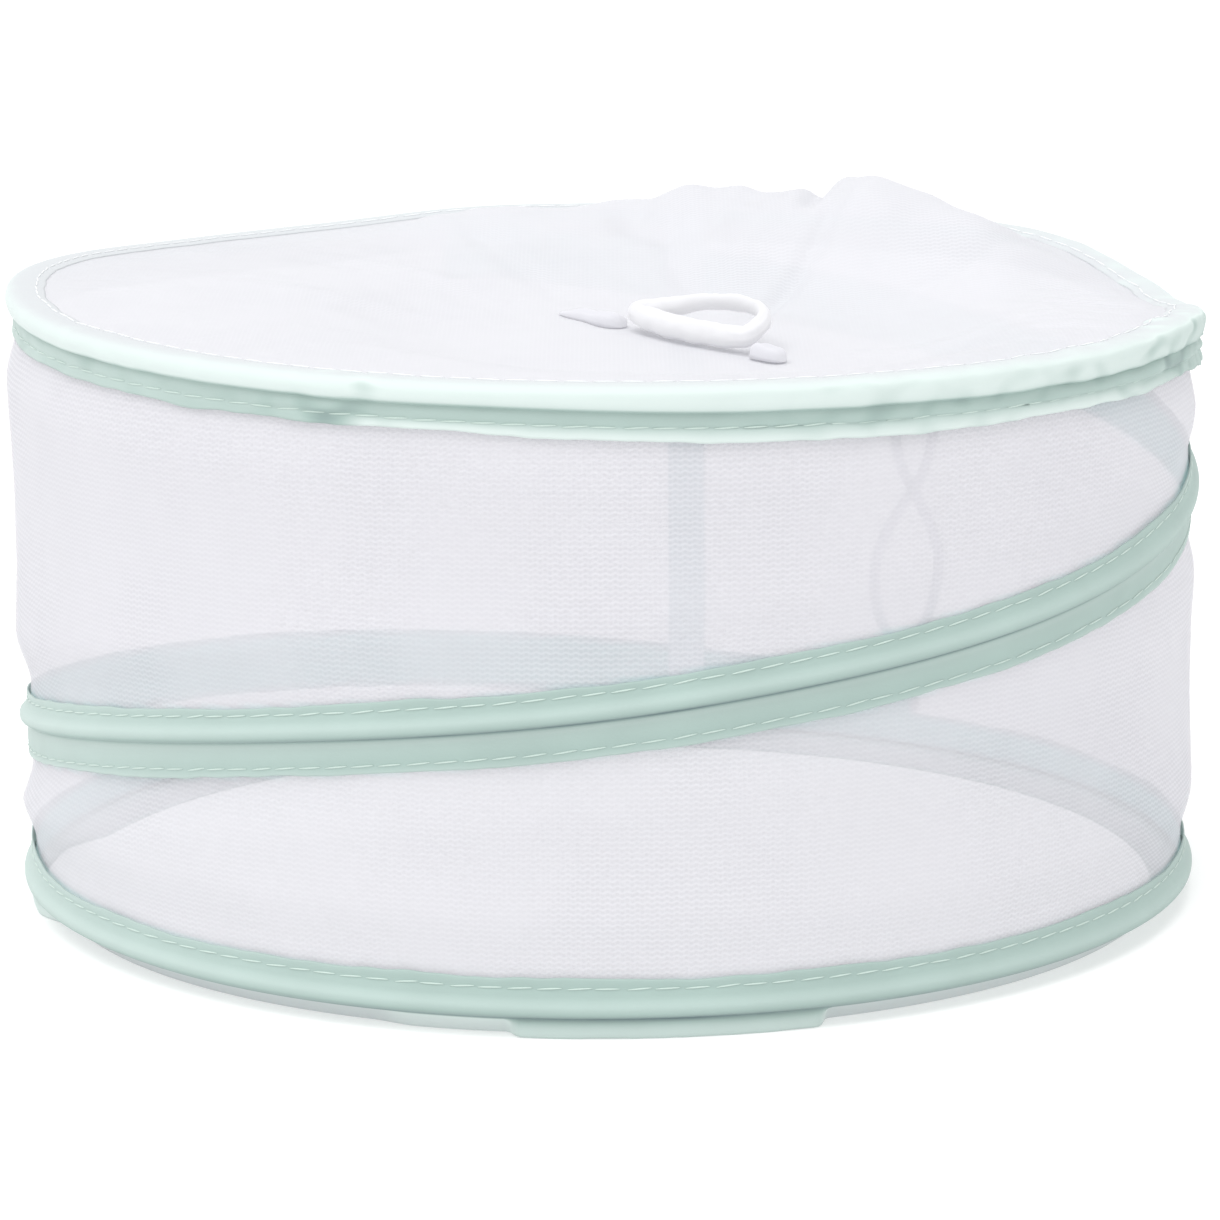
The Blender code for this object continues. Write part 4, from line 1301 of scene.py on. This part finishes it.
    def seam(self, finish: bpy.types.Material) -> bpy.types.Object:
        """The binding over the wall's sewn joint, inside the back."""
        low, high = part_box("back_seam_tape")
        middle = math.degrees(math.atan2((low.x + high.x) / 2, -(low.y + high.y) / 2))
        half = math.degrees(self.seam_width / 2 / GAUGE)
        columns, rows = 12, 96
        spots = np.empty((columns + 1, rows + 1, 3))
        sides = np.linspace(-1, 1, columns + 1)
        for row in range(rows + 1):
            share = row / rows * self.rings
            angles = middle + half * sides
            heights = self.heights.at(angles, share)
            radii = self.radii.at(angles, share) + self.belly(angles, heights)
            for column, across in enumerate(sides):
                inset = (0.80 + 0.12 * math.cos(across * math.pi)) * MM
                inset += max(self.seam_waves.at(Vector((across, 0, heights[column]))), 0.0)
                spots[column, row] = on_drum(angles[column], radii[column] - inset, heights[column])
        shape = lay_grid(spots, upright=True)
        return add_piece("seam_binding", shape, finish, self.seam_thickness)


@dataclass
class Fold:
    """A crease or a ridge of the panel, from one place to another.

    Attributes:
        start: x and y of its first end, in metres.
        end: x and y of its other end.
        height: rise at its middle, or fall where negative, in metres.
        width: how far it spreads to each side.
    """
    start: tuple[float, float]
    end: tuple[float, float]
    height: float
    width: float

    def rise(self, x: float, y: float) -> float:
        """How far it lifts the cloth at a place, in metres."""
        (x0, y0), (x1, y1) = self.start, self.end
        run = (x1 - x0) ** 2 + (y1 - y0) ** 2
        along = ((x - x0) * (x1 - x0) + (y - y0) * (y1 - y0)) / run
        bend = math.sin(along * 5.0 + x0 * 90) * self.width * 0.5
        side = ((x - x0) * (y1 - y0) - (y - y0) * (x1 - x0)) / math.sqrt(run) + bend
        fade = ease((along + 0.2) / 0.4) * ease((1.2 - along) / 0.5)
        return self.height * fade * math.exp(-(side / self.width) ** 2)


@dataclass
class TopPanel:
    """The slack round panel of mesh across the top hoop.

    Attributes:
        cells: places across it.
        thickness: of the cloth.
        brim: radius of the brim's inner edge.
        rings: rings of the CAD model's panel inside the brim.
        folds: its creases and ridges.
        half: half the thickness of the CAD model's panel.
        margin: how far inside the rim and the brim the panel's surface ends.
        waves: its soft wrinkles.
        gathered: where the cloth is gathered more under the brim.
        gathers: how close the gathers stand round the rim.
        seat_middle: x and y of the handle's seat, where the cloth lies calm.
        seat_radius: of that seat.
        rim: the panel's radius.
        surface: heights of the CAD model's panel by angle and ring.
    """
    cells: int = 176
    thickness: float = 0.30 * MM
    brim: float = 0.163
    rings: int = 9
    folds: tuple = (
        Fold((0.080, 0.094), (0.114, 0.072), -4.4 * MM, 16.0 * MM),
        Fold((0.0685, 0.122), (0.0665, 0.074), -6.4 * MM, 4.8 * MM),
        Fold((0.015, 0.150), (0.014, 0.085), -4.2 * MM, 8.0 * MM),
        Fold((0.036, 0.140), (0.040, 0.095), -2.0 * MM, 9.0 * MM),
        Fold((0.078, 0.094), (0.040, -0.010), -2.6 * MM, 3.2 * MM),
        Fold((0.100, 0.080), (0.060, 0.010), 0.6 * MM, 5.0 * MM),
        Fold((0.130, 0.056), (0.090, 0.020), -1.5 * MM, 4.0 * MM),
        Fold((0.020, 0.125), (0.025, 0.030), -1.6 * MM, 4.5 * MM),
        Fold((0.045, 0.120), (0.038, 0.040), 1.5 * MM, 4.0 * MM),
        Fold((-0.050, 0.130), (-0.010, 0.010), -1.2 * MM, 5.0 * MM),
        Fold((-0.100, 0.085), (-0.030, 0.000), 0.9 * MM, 6.0 * MM),
        Fold((-0.120, 0.000), (-0.030, -0.030), 0.7 * MM, 6.0 * MM),
        Fold((0.125, -0.035), (0.060, -0.050), 0.8 * MM, 5.0 * MM))
    half: float = 0.25 * MM
    margin: float = 0.5 * MM
    waves: tuple[Waves, ...] = (Waves(30.0 * MM, 2.0, 1.3 * MM), Waves(13.0 * MM, 5.0, 0.45 * MM))
    gathered: Bumps = ((85.0, 35.0, 1.3), (170.0, 60.0, 0.4))
    gathers: float = 24.0
    seat_middle: tuple[float, float] = (0.022, -0.042)
    seat_radius: float = 30.0 * MM
    rim: float = field(init=False)
    surface: Table = field(init=False)

    def __post_init__(self) -> None:
        """Reads the panel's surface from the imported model, by probing it from above."""
        low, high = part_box("top_mesh_panel")
        self.rim = (high.x - low.x) / 2
        shape = bmesh.new()
        shape.from_mesh(frame["nodes"]["top_mesh_panel"].data)
        tree = BVHTree.FromBMesh(shape)
        shape.free()
        inner = [self.brim * k / self.rings for k in range(self.rings + 1)]
        rows = []
        for angle in np.arange(-FULL / 2, FULL / 2, STEP):
            row = []
            for reach in [-inner[1], *inner, self.rim - self.margin]:
                hit, normal, *_ = tree.ray_cast(on_drum(angle, reach, high.z + MM), Vector((0, 0, -1)))
                row.append(hit.z - self.half / normal.z)
            rows.append(row + [2 * row[-1] - row[-2]])
        self.surface = Table(np.array(rows))

    def height(self, x: np.ndarray, y: np.ndarray) -> np.ndarray:
        """Heights of the CAD model's panel at some places."""
        reach = np.hypot(x, y)
        ring = self.brim / self.rings
        row = np.where(reach < self.brim, reach / ring,
                       self.rings + (reach - self.brim) / (self.rim - self.margin - self.brim))
        return self.surface.at(np.degrees(np.arctan2(x, -y)), row + 1)

    def crumple(self, x: float, y: float) -> float:
        """Rise of the cloth's creases and soft wrinkles over the CAD model's surface."""
        angle, reach = math.atan2(x, -y), math.hypot(x, y)
        loose = 0.35 + 0.65 * ease((y + 0.16) / 0.20)
        wrinkles = sum(waves.at(Vector((x, y, 0.0))) for waves in self.waves) * loose
        power = (0.35 + bumps(math.degrees(angle), self.gathered)) * ease((reach - 0.115) / 0.03)
        gathers = noise.noise(Vector((math.sin(angle) * self.gathers, math.cos(angle) * self.gathers,
                                      reach * 18)))
        return sum(crease.rise(x, y) for crease in self.folds) + wrinkles + gathers * power * MM

    def build(self, finish: bpy.types.Material) -> bpy.types.Object:
        """The panel's cloth, a square grid drawn to a disc."""
        u, v = np.meshgrid(*[np.arange(self.cells + 1) / self.cells * 2 - 1] * 2, indexing="ij")
        x, y = self.rim * u * np.sqrt(1 - v * v / 2), self.rim * v * np.sqrt(1 - u * u / 2)
        spots = np.stack([x, y, self.height(x, y)], axis=2)
        for place in spots.reshape(-1, 3):
            reach = math.hypot(place[0], place[1])
            free = ease((self.brim - self.margin - reach) / (9 * MM))
            away = math.dist(place[:2], self.seat_middle) / self.seat_radius
            place[2] += self.crumple(place[0], place[1]) * free * (1 - 0.85 * math.exp(-away * away))
        shape = mapped_grid(spots, spots[:, :, :2].copy(), np.zeros(spots.shape[:2]), False)
        bmesh.ops.smooth_vert(shape, verts=[v for v in shape.verts if not v.is_boundary], factor=0.5,
                              use_axis_z=True)
        return add_piece("panel_cloth", shape, finish, self.thickness)


# The handle and the closing loop


@dataclass
class Handle:
    """The rolled tape loop and the two sewn ends that hold it.

    Attributes:
        outline: places along and across the loop as shares of its half length and depth, with its thickness.
        length: of the loop's centre line.
        depth: of the loop's centre line.
        roll: thickness of the front of the loop.
        lean: how far the loop stands off the panel, in degrees.
        edge_turn: where the tape's free edge lies round the roll, in radians under the outer side.
        far_flat: how much thinner the far side is, as a share.
        far_tall: how much taller the far side is, as a share.
        around: places along the loop.
        sides: places round the roll.
        dents: its uneven dents, in millimetres.
        tab_columns: places along a sewn end.
        tab_sides: places round it.
        tab_lift: how its top swells and sinks, in metres.
        tab_drift: how it wanders sideways, in metres.
    """
    edge_turn: float = 0.9
    far_flat: float = 0.30
    far_tall: float = 0.05
    outline: tuple = ((1.0, 0.10, 0.86), (0.94, 0.58, 0.78), (0.66, 0.93, 0.72), (0.22, 1.0, 0.70),
                      (-0.22, 0.84, 0.72), (-0.62, 0.50, 0.78), (-0.94, 0.20, 0.86), (-0.90, -0.02, 0.92),
                      (-0.45, -0.10, 1.0), (0.0, -0.14, 1.0), (0.50, -0.10, 0.98), (0.88, -0.03, 0.92))
    length: float = 42.0 * MM
    depth: float = 16.3 * MM
    roll: float = 7.0 * MM
    lean: float = 20.0
    around: int = 144
    sides: int = 28
    dents: tuple[Waves, ...] = (Waves(6.0 * MM, 7.0, 0.55), Waves(2.4 * MM, 3.0, 0.16))
    tab_columns: int = 56
    tab_sides: int = 32
    tab_lift: Waves = Waves(6.5 * MM, 11.0, 0.9 * MM)
    tab_drift: Waves = Waves(7.5 * MM, 13.0, 0.8 * MM)

    def axes(self) -> Matrix:
        """The handle's own axes on the panel: X along its hinge, Z off the panel."""
        spot, along = hinge_of(Body.HANDLE)
        side = Vector((0, 0, 1)).cross(along).normalized()
        return Matrix((along, side, along.cross(side))).transposed()

    def grip(self, finish: bpy.types.Material) -> bpy.types.Object:
        """The rolled loop: tape wound on itself, with the fold's free edge running round it."""
        turn = self.axes() @ Matrix.Rotation(math.radians(self.lean), 3, "X")
        around, sides = self.around, self.sides
        path = through(np.array(self.outline), np.arange(around + 1) / around * len(self.outline), True)
        centres = path * (self.length / 2, self.depth, 0.0)
        spots = np.empty((around + 1, sides + 1, 3))
        folds = np.zeros((around + 1, sides + 1))
        for column in range(around + 1):
            ahead, behind = centres[(column + 1) % around], centres[(column - 1) % around]
            run = Vector(ahead - behind).normalized()
            outward = run.cross(Vector((0, 0, 1)))
            far = ease((path[column, 1] - 0.25) / 0.6)
            gathered = ease((abs(path[column, 0]) - 0.70) / 0.25)
            for row in range(sides + 1):
                share = row / sides
                phase = share * 2 * math.pi - self.edge_turn
                step = math.exp(-(min(share, 1 - share) / 0.05) ** 2)
                radius = self.roll / 2 * path[column, 2] * (0.985 - 0.09 * step + 0.05 * share)
                flat, tall = 1 - self.far_flat * far, 1 + self.far_tall * far
                spoke = outward * (math.cos(phase) * flat) + Vector((0, 0, 1)) * (math.sin(phase) * tall)
                point = Vector(centres[column]) + spoke * radius
                dent = sum(waves.at(point) for waves in self.dents)
                dent += gathered * 0.14 * math.cos(phase * 9 + path[column, 0] * 6)
                spots[column, row] = turn @ (point + spoke * dent * MM)
                # The fold paints shade along the tape's free edge round the roll and a little at the gathered
                # ends.
                folds[column, row] = step * 0.7 + gathered * 0.10
        spots[-1] = spots[0]
        spots[:, -1] = spots[:, 0]
        shape = lay_grid(spots, folds, True)
        weld(shape)
        low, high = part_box("handle_grip")
        mine = np.array([vertex.co for vertex in shape.verts])
        shift = (low + high - Vector(mine.min(axis=0)) - Vector(mine.max(axis=0))) / 2
        bmesh.ops.translate(shape, verts=shape.verts, vec=shift)
        return add_piece("grip_roll", shape, finish)

    def tab(self, name: str, node: str, finish: bpy.types.Material, pleats: int) -> bpy.types.Object:
        """One sewn end of the tape: a soft cushion over its CAD block, rounded and pleated.

        Args:
            name: the piece's name.
            node: the CAD node that it stands for.
            finish: its material.
            pleats: how many pleats run along it.

        Returns:
            The piece.
        """
        axes = self.axes()
        local = np.array([(axes.inverted() @ Vector(point))[:] for point in node_points(node)])
        low, high = local.min(axis=0), local.max(axis=0)
        left = local[local[:, 0] < (low[0] + high[0]) / 2]
        right = local[local[:, 0] >= (low[0] + high[0]) / 2]
        ends = np.array([(*part.min(axis=0)[1:], *part.max(axis=0)[1:]) for part in (left, right)])
        columns, sides = self.tab_columns, self.tab_sides
        spots = np.empty((columns + 1, sides + 1, 3))
        folds = np.zeros((columns + 1, sides + 1))
        for column in range(columns + 1):
            share = 0.5 - 0.5 * math.cos(math.pi * column / columns)
            near_y, low_z, far_y, high_z = ends[0] + (ends[1] - ends[0]) * share
            close = math.sqrt(max(1 - abs(2 * share - 1) ** 5, 0.0))
            for side in range(sides + 1):
                phase = 2 * math.pi * side / sides
                across, up = math.cos(phase), math.sin(phase)
                across = math.copysign(abs(across) ** 0.65, across)
                lift = max(up, 0.0) ** 0.85
                pleat = 0.5 - 0.5 * math.cos((across + 1) * math.pi * pleats)
                place = Vector((low[0] + (high[0] - low[0]) * share,
                                (near_y + far_y) / 2 + (far_y - near_y) / 2 * across * close,
                                low_z + (high_z - low_z) * 1.15 * lift * close * (1 - 0.16 * pleat)))
                place.z += self.tab_lift.at(place) * lift * close
                place.y += self.tab_drift.at(place) * close
                spots[column, side] = axes @ place
                # The fold paints the tape end in shade all over, more in its pleats and on its lower side.
                folds[column, side] = (0.35 + pleat * 0.35 * lift + (1 - lift) * 0.3) * close
        spots[:, -1] = spots[:, 0]
        shape = lay_grid(spots, folds)
        weld(shape)
        return add_piece(name, shape, finish)


@dataclass
class ClosingLoop:
    """The elastic loop that holds the folded cover shut, and the patch that holds its ends.

    Attributes:
        outline: sideways place and drop along the loop, as shares of its width and length.
        drop: length of the loop.
        width: of the loop across its eye.
        lean: how far it hangs away from the wall, in degrees.
        ribbon: width of the elastic.
        thickness: of the elastic.
        crossing: distance between the legs where they cross.
        start: how far below its hinge the elastic starts.
        steps: places along the elastic.
        rows: places across it.
        patch_columns: places along the patch.
        patch_rows: places up it.
        patch_thickness: of its tape.
        patch_waves: how uneven the patch lies, in millimetres.
    """
    outline: tuple = ((-0.26, 0.0), (-0.20, 0.10), (-0.08, 0.20), (0.12, 0.32), (0.34, 0.45), (0.48, 0.60),
                      (0.46, 0.76), (0.32, 0.91), (0.06, 1.0), (-0.22, 0.95), (-0.42, 0.82), (-0.50, 0.66),
                      (-0.42, 0.50), (-0.20, 0.36), (0.06, 0.24), (0.20, 0.11), (0.26, 0.0))
    drop: float = 58.0 * MM
    width: float = 21.0 * MM
    lean: float = 5.0
    ribbon: float = 2.6 * MM
    thickness: float = 0.9 * MM
    crossing: float = 2.0 * MM
    start: float = 1.6 * MM
    steps: int = 160
    rows: int = 6
    patch_columns: int = 24
    patch_rows: int = 14
    patch_thickness: float = 0.7 * MM
    patch_waves: Waves = Waves(4.0 * MM, 3.0, 0.10)

    def axes(self) -> Matrix:
        """The loop's axes at its hinge: X along the wall, Y inwards, Z up."""
        spot, along = hinge_of(Body.LOOP)
        inward = Vector((0, 0, 1)).cross(along)
        return Matrix.Translation(spot) @ Matrix((along, inward, Vector((0, 0, 1)))).transposed().to_4x4()

    def elastic(self, finish: bpy.types.Material) -> bpy.types.Object:
        """The flat elastic, with its two legs crossed once."""
        turn = self.axes() @ Matrix.Rotation(math.radians(self.lean), 4, "X")
        steps, rows = self.steps, self.rows
        path = through(np.array(self.outline), np.arange(steps + 1) / steps * (len(self.outline) - 1))
        points = [Vector((across * self.width, self.crossing * (1 + math.cos(math.pi * step / steps)) / 2,
                          -self.start - drop * self.drop)) for step, (across, drop) in enumerate(path)]
        spots = np.empty((steps + 1, rows + 1, 3))
        for step, point in enumerate(points):
            run = (points[min(step + 1, steps)] - points[max(step - 1, 0)]).normalized()
            flat = run.cross(Vector((0, 1, 0))).normalized()
            for row in range(rows + 1):
                across = row / rows * 2 - 1
                bulge = -0.12 * MM * (1 - across * across)
                spots[step, row] = turn @ (point + flat * across * self.ribbon / 2 + Vector((0, bulge, 0)))
        return add_piece("elastic_ribbon", lay_grid(spots), finish, self.thickness)

    def patch(self, finish: bpy.types.Material) -> bpy.types.Object:
        """The folded patch of tape that holds the elastic's ends."""
        points = node_points("closing_loop_patch")
        turn = self.axes()
        local = np.array([(turn.inverted() @ Vector(point))[:] for point in points])
        low, high = local.min(axis=0), local.max(axis=0)
        columns, rows = self.patch_columns, self.patch_rows
        middle = (low[1] + high[1]) / 2
        spots = np.empty((columns + 1, rows + 1, 3))
        for column in range(columns + 1):
            for row in range(rows + 1):
                u, v = column / columns, row / rows
                edge = min(u, 1 - u, v, 1 - v)
                place = Vector((low[0] + (high[0] - low[0]) * u, middle, low[2] + (high[2] - low[2]) * v))
                place.y += (0.12 * ease(edge / 0.12) - 0.10 + self.patch_waves.at(place)) * MM
                spots[column, row] = turn @ place
        return add_piece("loop_patch", lay_grid(spots), finish, self.patch_thickness)


# The whole cover


@dataclass
class Cover:
    """The whole cover: builds each sub-assembly, and says what it moves with and stands for.

    Attributes:
        finishes: every finish.
        coil_first: angle of the coil's lower end, in degrees.
        coil_last: angle of its upper end.
        coil_rise: how much higher than in the CAD model the coil lies at the left.
        coil_sides: places round the coil's wire.
        wire_radius: of the coil's wire.
        tape_columns: places along the coil's tape for each degree.
        tip_run: degrees at each end of the coil without stitches.
        bend_from: height at which the wall starts to fold up as the cover collapses; not used.
        bend_to: height at which it moves wholly with the top hoop; not used.
        below: a height far below the cover, for angles where the coil isn't.
    """
    finishes: Finishes = field(default_factory=Finishes)
    coil_first: float = -216.0
    coil_last: float = 198.0
    coil_rise: float = 2.4 * MM
    coil_sides: int = 10
    wire_radius: float = 1.0 * MM
    tape_columns: int = 2
    tip_run: float = 14.0
    bend_from: float = 10.0 * MM
    bend_to: float = 166.0 * MM
    below: float = -1.0

    def gather(self, piece: bpy.types.Object) -> bpy.types.Object:
        """Bakes a piece's placement into its mesh."""
        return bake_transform(piece)

    def slack_coil(self, heights: Table) -> Table:
        """The coil's heights, a little higher at the left, where the cloth holds it up."""
        steps = self.coil_first + STEP * np.arange(len(heights.values))
        raised = np.array([self.coil_rise * ease((step + 150) / 40) * ease((8 - step) / 44)
                           for step in steps])
        return Table(heights.values + raised[:, None], heights.first, heights.closed)

    def other_turn(self, heights: Table, turns: int) -> Callable[[np.ndarray], np.ndarray]:
        """Reads the coil's height where its end has passed the back, and far below elsewhere.

        Args:
            heights: the coil's heights.
            turns: 1 for its upper end, or -1 for its lower one.

        Returns:
            The height by angle.
        """
        def read(angles: np.ndarray) -> np.ndarray:
            """The height at some angles."""
            there = np.asarray(angles, float) + FULL * turns
            inside = (there > self.coil_first) & (there < self.coil_last)
            return np.where(inside, heights.at(there), self.below)
        return read

    def build_wires(self, radii: Table, heights: Table) -> bpy.types.Object:
        """The coil's own wire, swept along its climb, and the finishes of the wires that stay.

        Args:
            radii: radius of the coil's centre line.
            heights: height of its centre line.

        Returns:
            The coil wire.
        """
        steps = round((self.coil_last - self.coil_first) / 0.75)
        angles = np.linspace(self.coil_first, self.coil_last, steps + 1)
        turn = np.radians(angles)[:, None]
        phase = np.arange(self.coil_sides + 1) / self.coil_sides * 2 * math.pi
        out = radii.at(angles)[:, None] + np.cos(phase) * self.wire_radius
        up = heights.at(angles)[:, None] + np.sin(phase) * self.wire_radius
        spots = np.stack([out * np.sin(turn), -out * np.cos(turn), up], axis=2)
        spots[:, -1] = spots[:, 0]
        shape = lay_grid(spots)
        weld(shape)
        piece = add_piece("coil_spring_wire", shape, self.finishes.steel)
        stays = {"top_hoop_wire": self.finishes.steel, "bottom_hoop_wire": self.finishes.steel,
                 "top_hoop_ferrule": self.finishes.crimp, "bottom_hoop_ferrule": self.finishes.crimp,
                 "coil_top_tip": self.finishes.plastic, "coil_bottom_tip": self.finishes.plastic}
        for name, finish in stays.items():
            frame["nodes"][name].material_slots[0].material = finish
        return piece

    def build(self) -> None:
        """Builds and places every piece."""
        finishes = self.finishes
        coil_radii, coil_heights = coil_tables("coil_wire", self.coil_first, self.coil_last)
        coil_heights = self.slack_coil(coil_heights)
        top_radii, top_heights = hoop_tables("top_hoop_wire")
        hem_radii, hem_heights = hoop_tables("bottom_hoop_wire")
        wire = self.build_wires(coil_radii, coil_heights)
        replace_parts(self.gather(wire), "coil_wire")

        reach = (7.9 * MM, 11.2 * MM, 17.0 * MM)
        wall = SideWall(bands=(
            (top_heights.at, 4.0 * MM, 3.4 * MM, 20.0 * MM), (hem_heights.at, 8.5 * MM, 3.0 * MM, 17.0 * MM),
            (coil_heights.at, *reach), (self.other_turn(coil_heights, -1), *reach),
            (self.other_turn(coil_heights, 1), *reach)))
        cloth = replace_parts(self.gather(wall.build(finishes.wall)), "side_mesh_wall")
        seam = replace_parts(self.gather(wall.seam(finishes.seam)), "back_seam_tape")

        columns = round(self.coil_last - self.coil_first) * self.tape_columns
        coil = CoilCasing("coil_binding", coil_radii, coil_heights, self.coil_first, self.coil_last, False,
                          columns, seed=1.0, top=top_heights, hem=float(hem_heights.values.mean()))
        coil_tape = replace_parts(self.gather(coil.build(finishes.tape)), "coil_casing_tape")
        span = (self.coil_first + self.tip_run, self.coil_last - self.tip_run)
        coil_threads = [self.gather(coil.stitches("coil_upper_stitches", 2.0, finishes.thread, span)),
                        self.gather(coil.stitches("coil_lower_stitches", 15.0, finishes.thread, span))]

        hem = BottomCasing("hem_binding", hem_radii, hem_heights, seed=2.0)
        hem_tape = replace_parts(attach(hem.build(finishes.tape), Body.BASE.value), "bottom_casing_tape")
        hem_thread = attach(hem.stitches("hem_stitches", 2.0, finishes.thread), Body.BASE.value)

        rim = TopCasing("rim_binding", top_radii, top_heights, seed=3.0, wall=wall)
        rim_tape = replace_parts(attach(rim.build(finishes.tape), Body.TOP.value), "top_casing_tape")
        rim_threads = [
            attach(rim.stitches("rim_brim_stitches", 2.0, finishes.highlit_thread), Body.TOP.value),
            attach(rim.stitches("rim_edge_stitches", 17.0, finishes.thread), Body.TOP.value)]

        panel = TopPanel()
        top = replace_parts(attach(panel.build(finishes.panel), Body.TOP.value), "top_mesh_panel")

        handle = Handle()
        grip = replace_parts(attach(handle.grip(finishes.webbing), Body.HANDLE.value), "handle_grip")
        tabs = []
        for side, pleats in (("left", 2), ("right", 1)):
            tab = handle.tab(f"{side}_tape_end", f"handle_{side}_tab", finishes.tape_end, pleats)
            tabs.append(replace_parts(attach(tab, Body.TOP.value), f"handle_{side}_tab"))

        loop = ClosingLoop()
        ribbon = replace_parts(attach(loop.elastic(finishes.elastic), Body.LOOP.value), "closing_loop")
        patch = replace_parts(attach(loop.patch(finishes.tape), Body.TOP.value), "closing_loop_patch")

        for piece in (wire, cloth, seam, coil_tape, *coil_threads, hem_tape, hem_thread, rim_tape,
                      *rim_threads, top, grip, *tabs, ribbon, patch):
            LOG.info("%s: %d faces", piece.name, len(piece.data.polygons))


@dataclass
class Studio:
    """The photograph's viewpoint, a pale floor and soft light.

    Attributes:
        aim: the point that the camera looks at.
        distance: from the camera to that point.
        elevation: how far the camera looks down, in degrees.
        roll: how far it is turned, in degrees.
        focal: focal length in pixels of the photograph.
        pixels: width of the photograph.
        sensor: width of the camera's sensor, in millimetres.
        ground: half the floor's width, in metres.
        ground_colour: of the floor.
        ground_glow: how strongly the floor shines by itself.
        light_from: the direction that the light shines from.
        light_spread: its width in degrees.
        light_strength: its strength in watts for each square metre.
        air_strength: strength of the light from all sides.
        passes: how many see-through surfaces a ray may cross.
    """
    aim: tuple[float, float, float] = (0.0010, 0.0, 0.0806)
    distance: float = 1.3820
    elevation: float = 11.730
    roll: float = -0.395
    focal: float = 4640.0
    pixels: float = 1220.0
    sensor: float = 36.0
    ground: float = 12.0
    ground_colour: Colour = (0.66, 0.66, 0.66, 1)
    ground_glow: float = 0.38
    light_from: tuple[float, float, float] = (-0.25, -0.35, 1.0)
    light_spread: float = 50.0
    light_strength: float = 1.7
    air_strength: float = 1.0
    passes: int = 24

    def camera(self) -> None:
        """Makes the camera and sets it as the scene's."""
        tilt, turn = math.radians(self.elevation), math.radians(self.roll)
        aim = Vector(self.aim)
        back = Vector((0, -math.cos(tilt), math.sin(tilt)))
        upright = Vector((0, math.sin(tilt), math.cos(tilt)))
        level = Vector((1, 0, 0)) * math.cos(turn) + upright * math.sin(turn)
        stand = Matrix((level, back.cross(level), back)).transposed().to_4x4()
        stand.translation = aim + back * self.distance
        lens = bpy.data.cameras.new("photo_camera")
        lens.sensor_width = self.sensor
        lens.lens = self.focal / self.pixels * self.sensor
        holder = show("photo_camera", lens)
        holder.matrix_world = stand
        bpy.context.scene.camera = holder

    def floor(self) -> None:
        """Lays the plain pale floor."""
        shape = bmesh.new()
        bmesh.ops.create_grid(shape, x_segments=1, y_segments=1, size=self.ground)
        data = bpy.data.meshes.new("studio_floor")
        shape.to_mesh(data)
        shape.free()
        bench = Bench("pale_floor")
        data.materials.append(bench.finish(Base_Color=self.ground_colour, Roughness=0.9,
                                           Specular_IOR_Level=0.0, Emission_Color=(1, 1, 1, 1),
                                           Emission_Strength=self.ground_glow))
        show("studio_floor", data)

    def light(self) -> None:
        """Adds one far soft light."""
        lamp = bpy.data.lights.new("overhead_light", "SUN")
        lamp.angle = math.radians(self.light_spread)
        lamp.energy = self.light_strength
        holder = show("overhead_light", lamp)
        holder.rotation_euler = Vector(self.light_from).to_track_quat("Z", "Y").to_euler()

    def build(self) -> None:
        """Sets up the studio."""
        self.camera()
        self.floor()
        world = bpy.data.worlds.new("studio_air")
        world.use_nodes = True
        air = world.node_tree.nodes["Background"]
        air.inputs["Color"].default_value = (1.0, 1.0, 1.0, 1)
        air.inputs["Strength"].default_value = self.air_strength
        scene = bpy.context.scene
        scene.world = world
        scene.view_settings.view_transform = "Standard"
        scene.cycles.transparent_max_bounces = self.passes
        self.light()


def main() -> None:
    """Builds the cover and the studio, and reports the pieces."""
    logging.basicConfig(level=logging.INFO, format="%(message)s")
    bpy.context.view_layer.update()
    Cover().build()
    Studio().build()


if __name__ == "__main__":
    main()
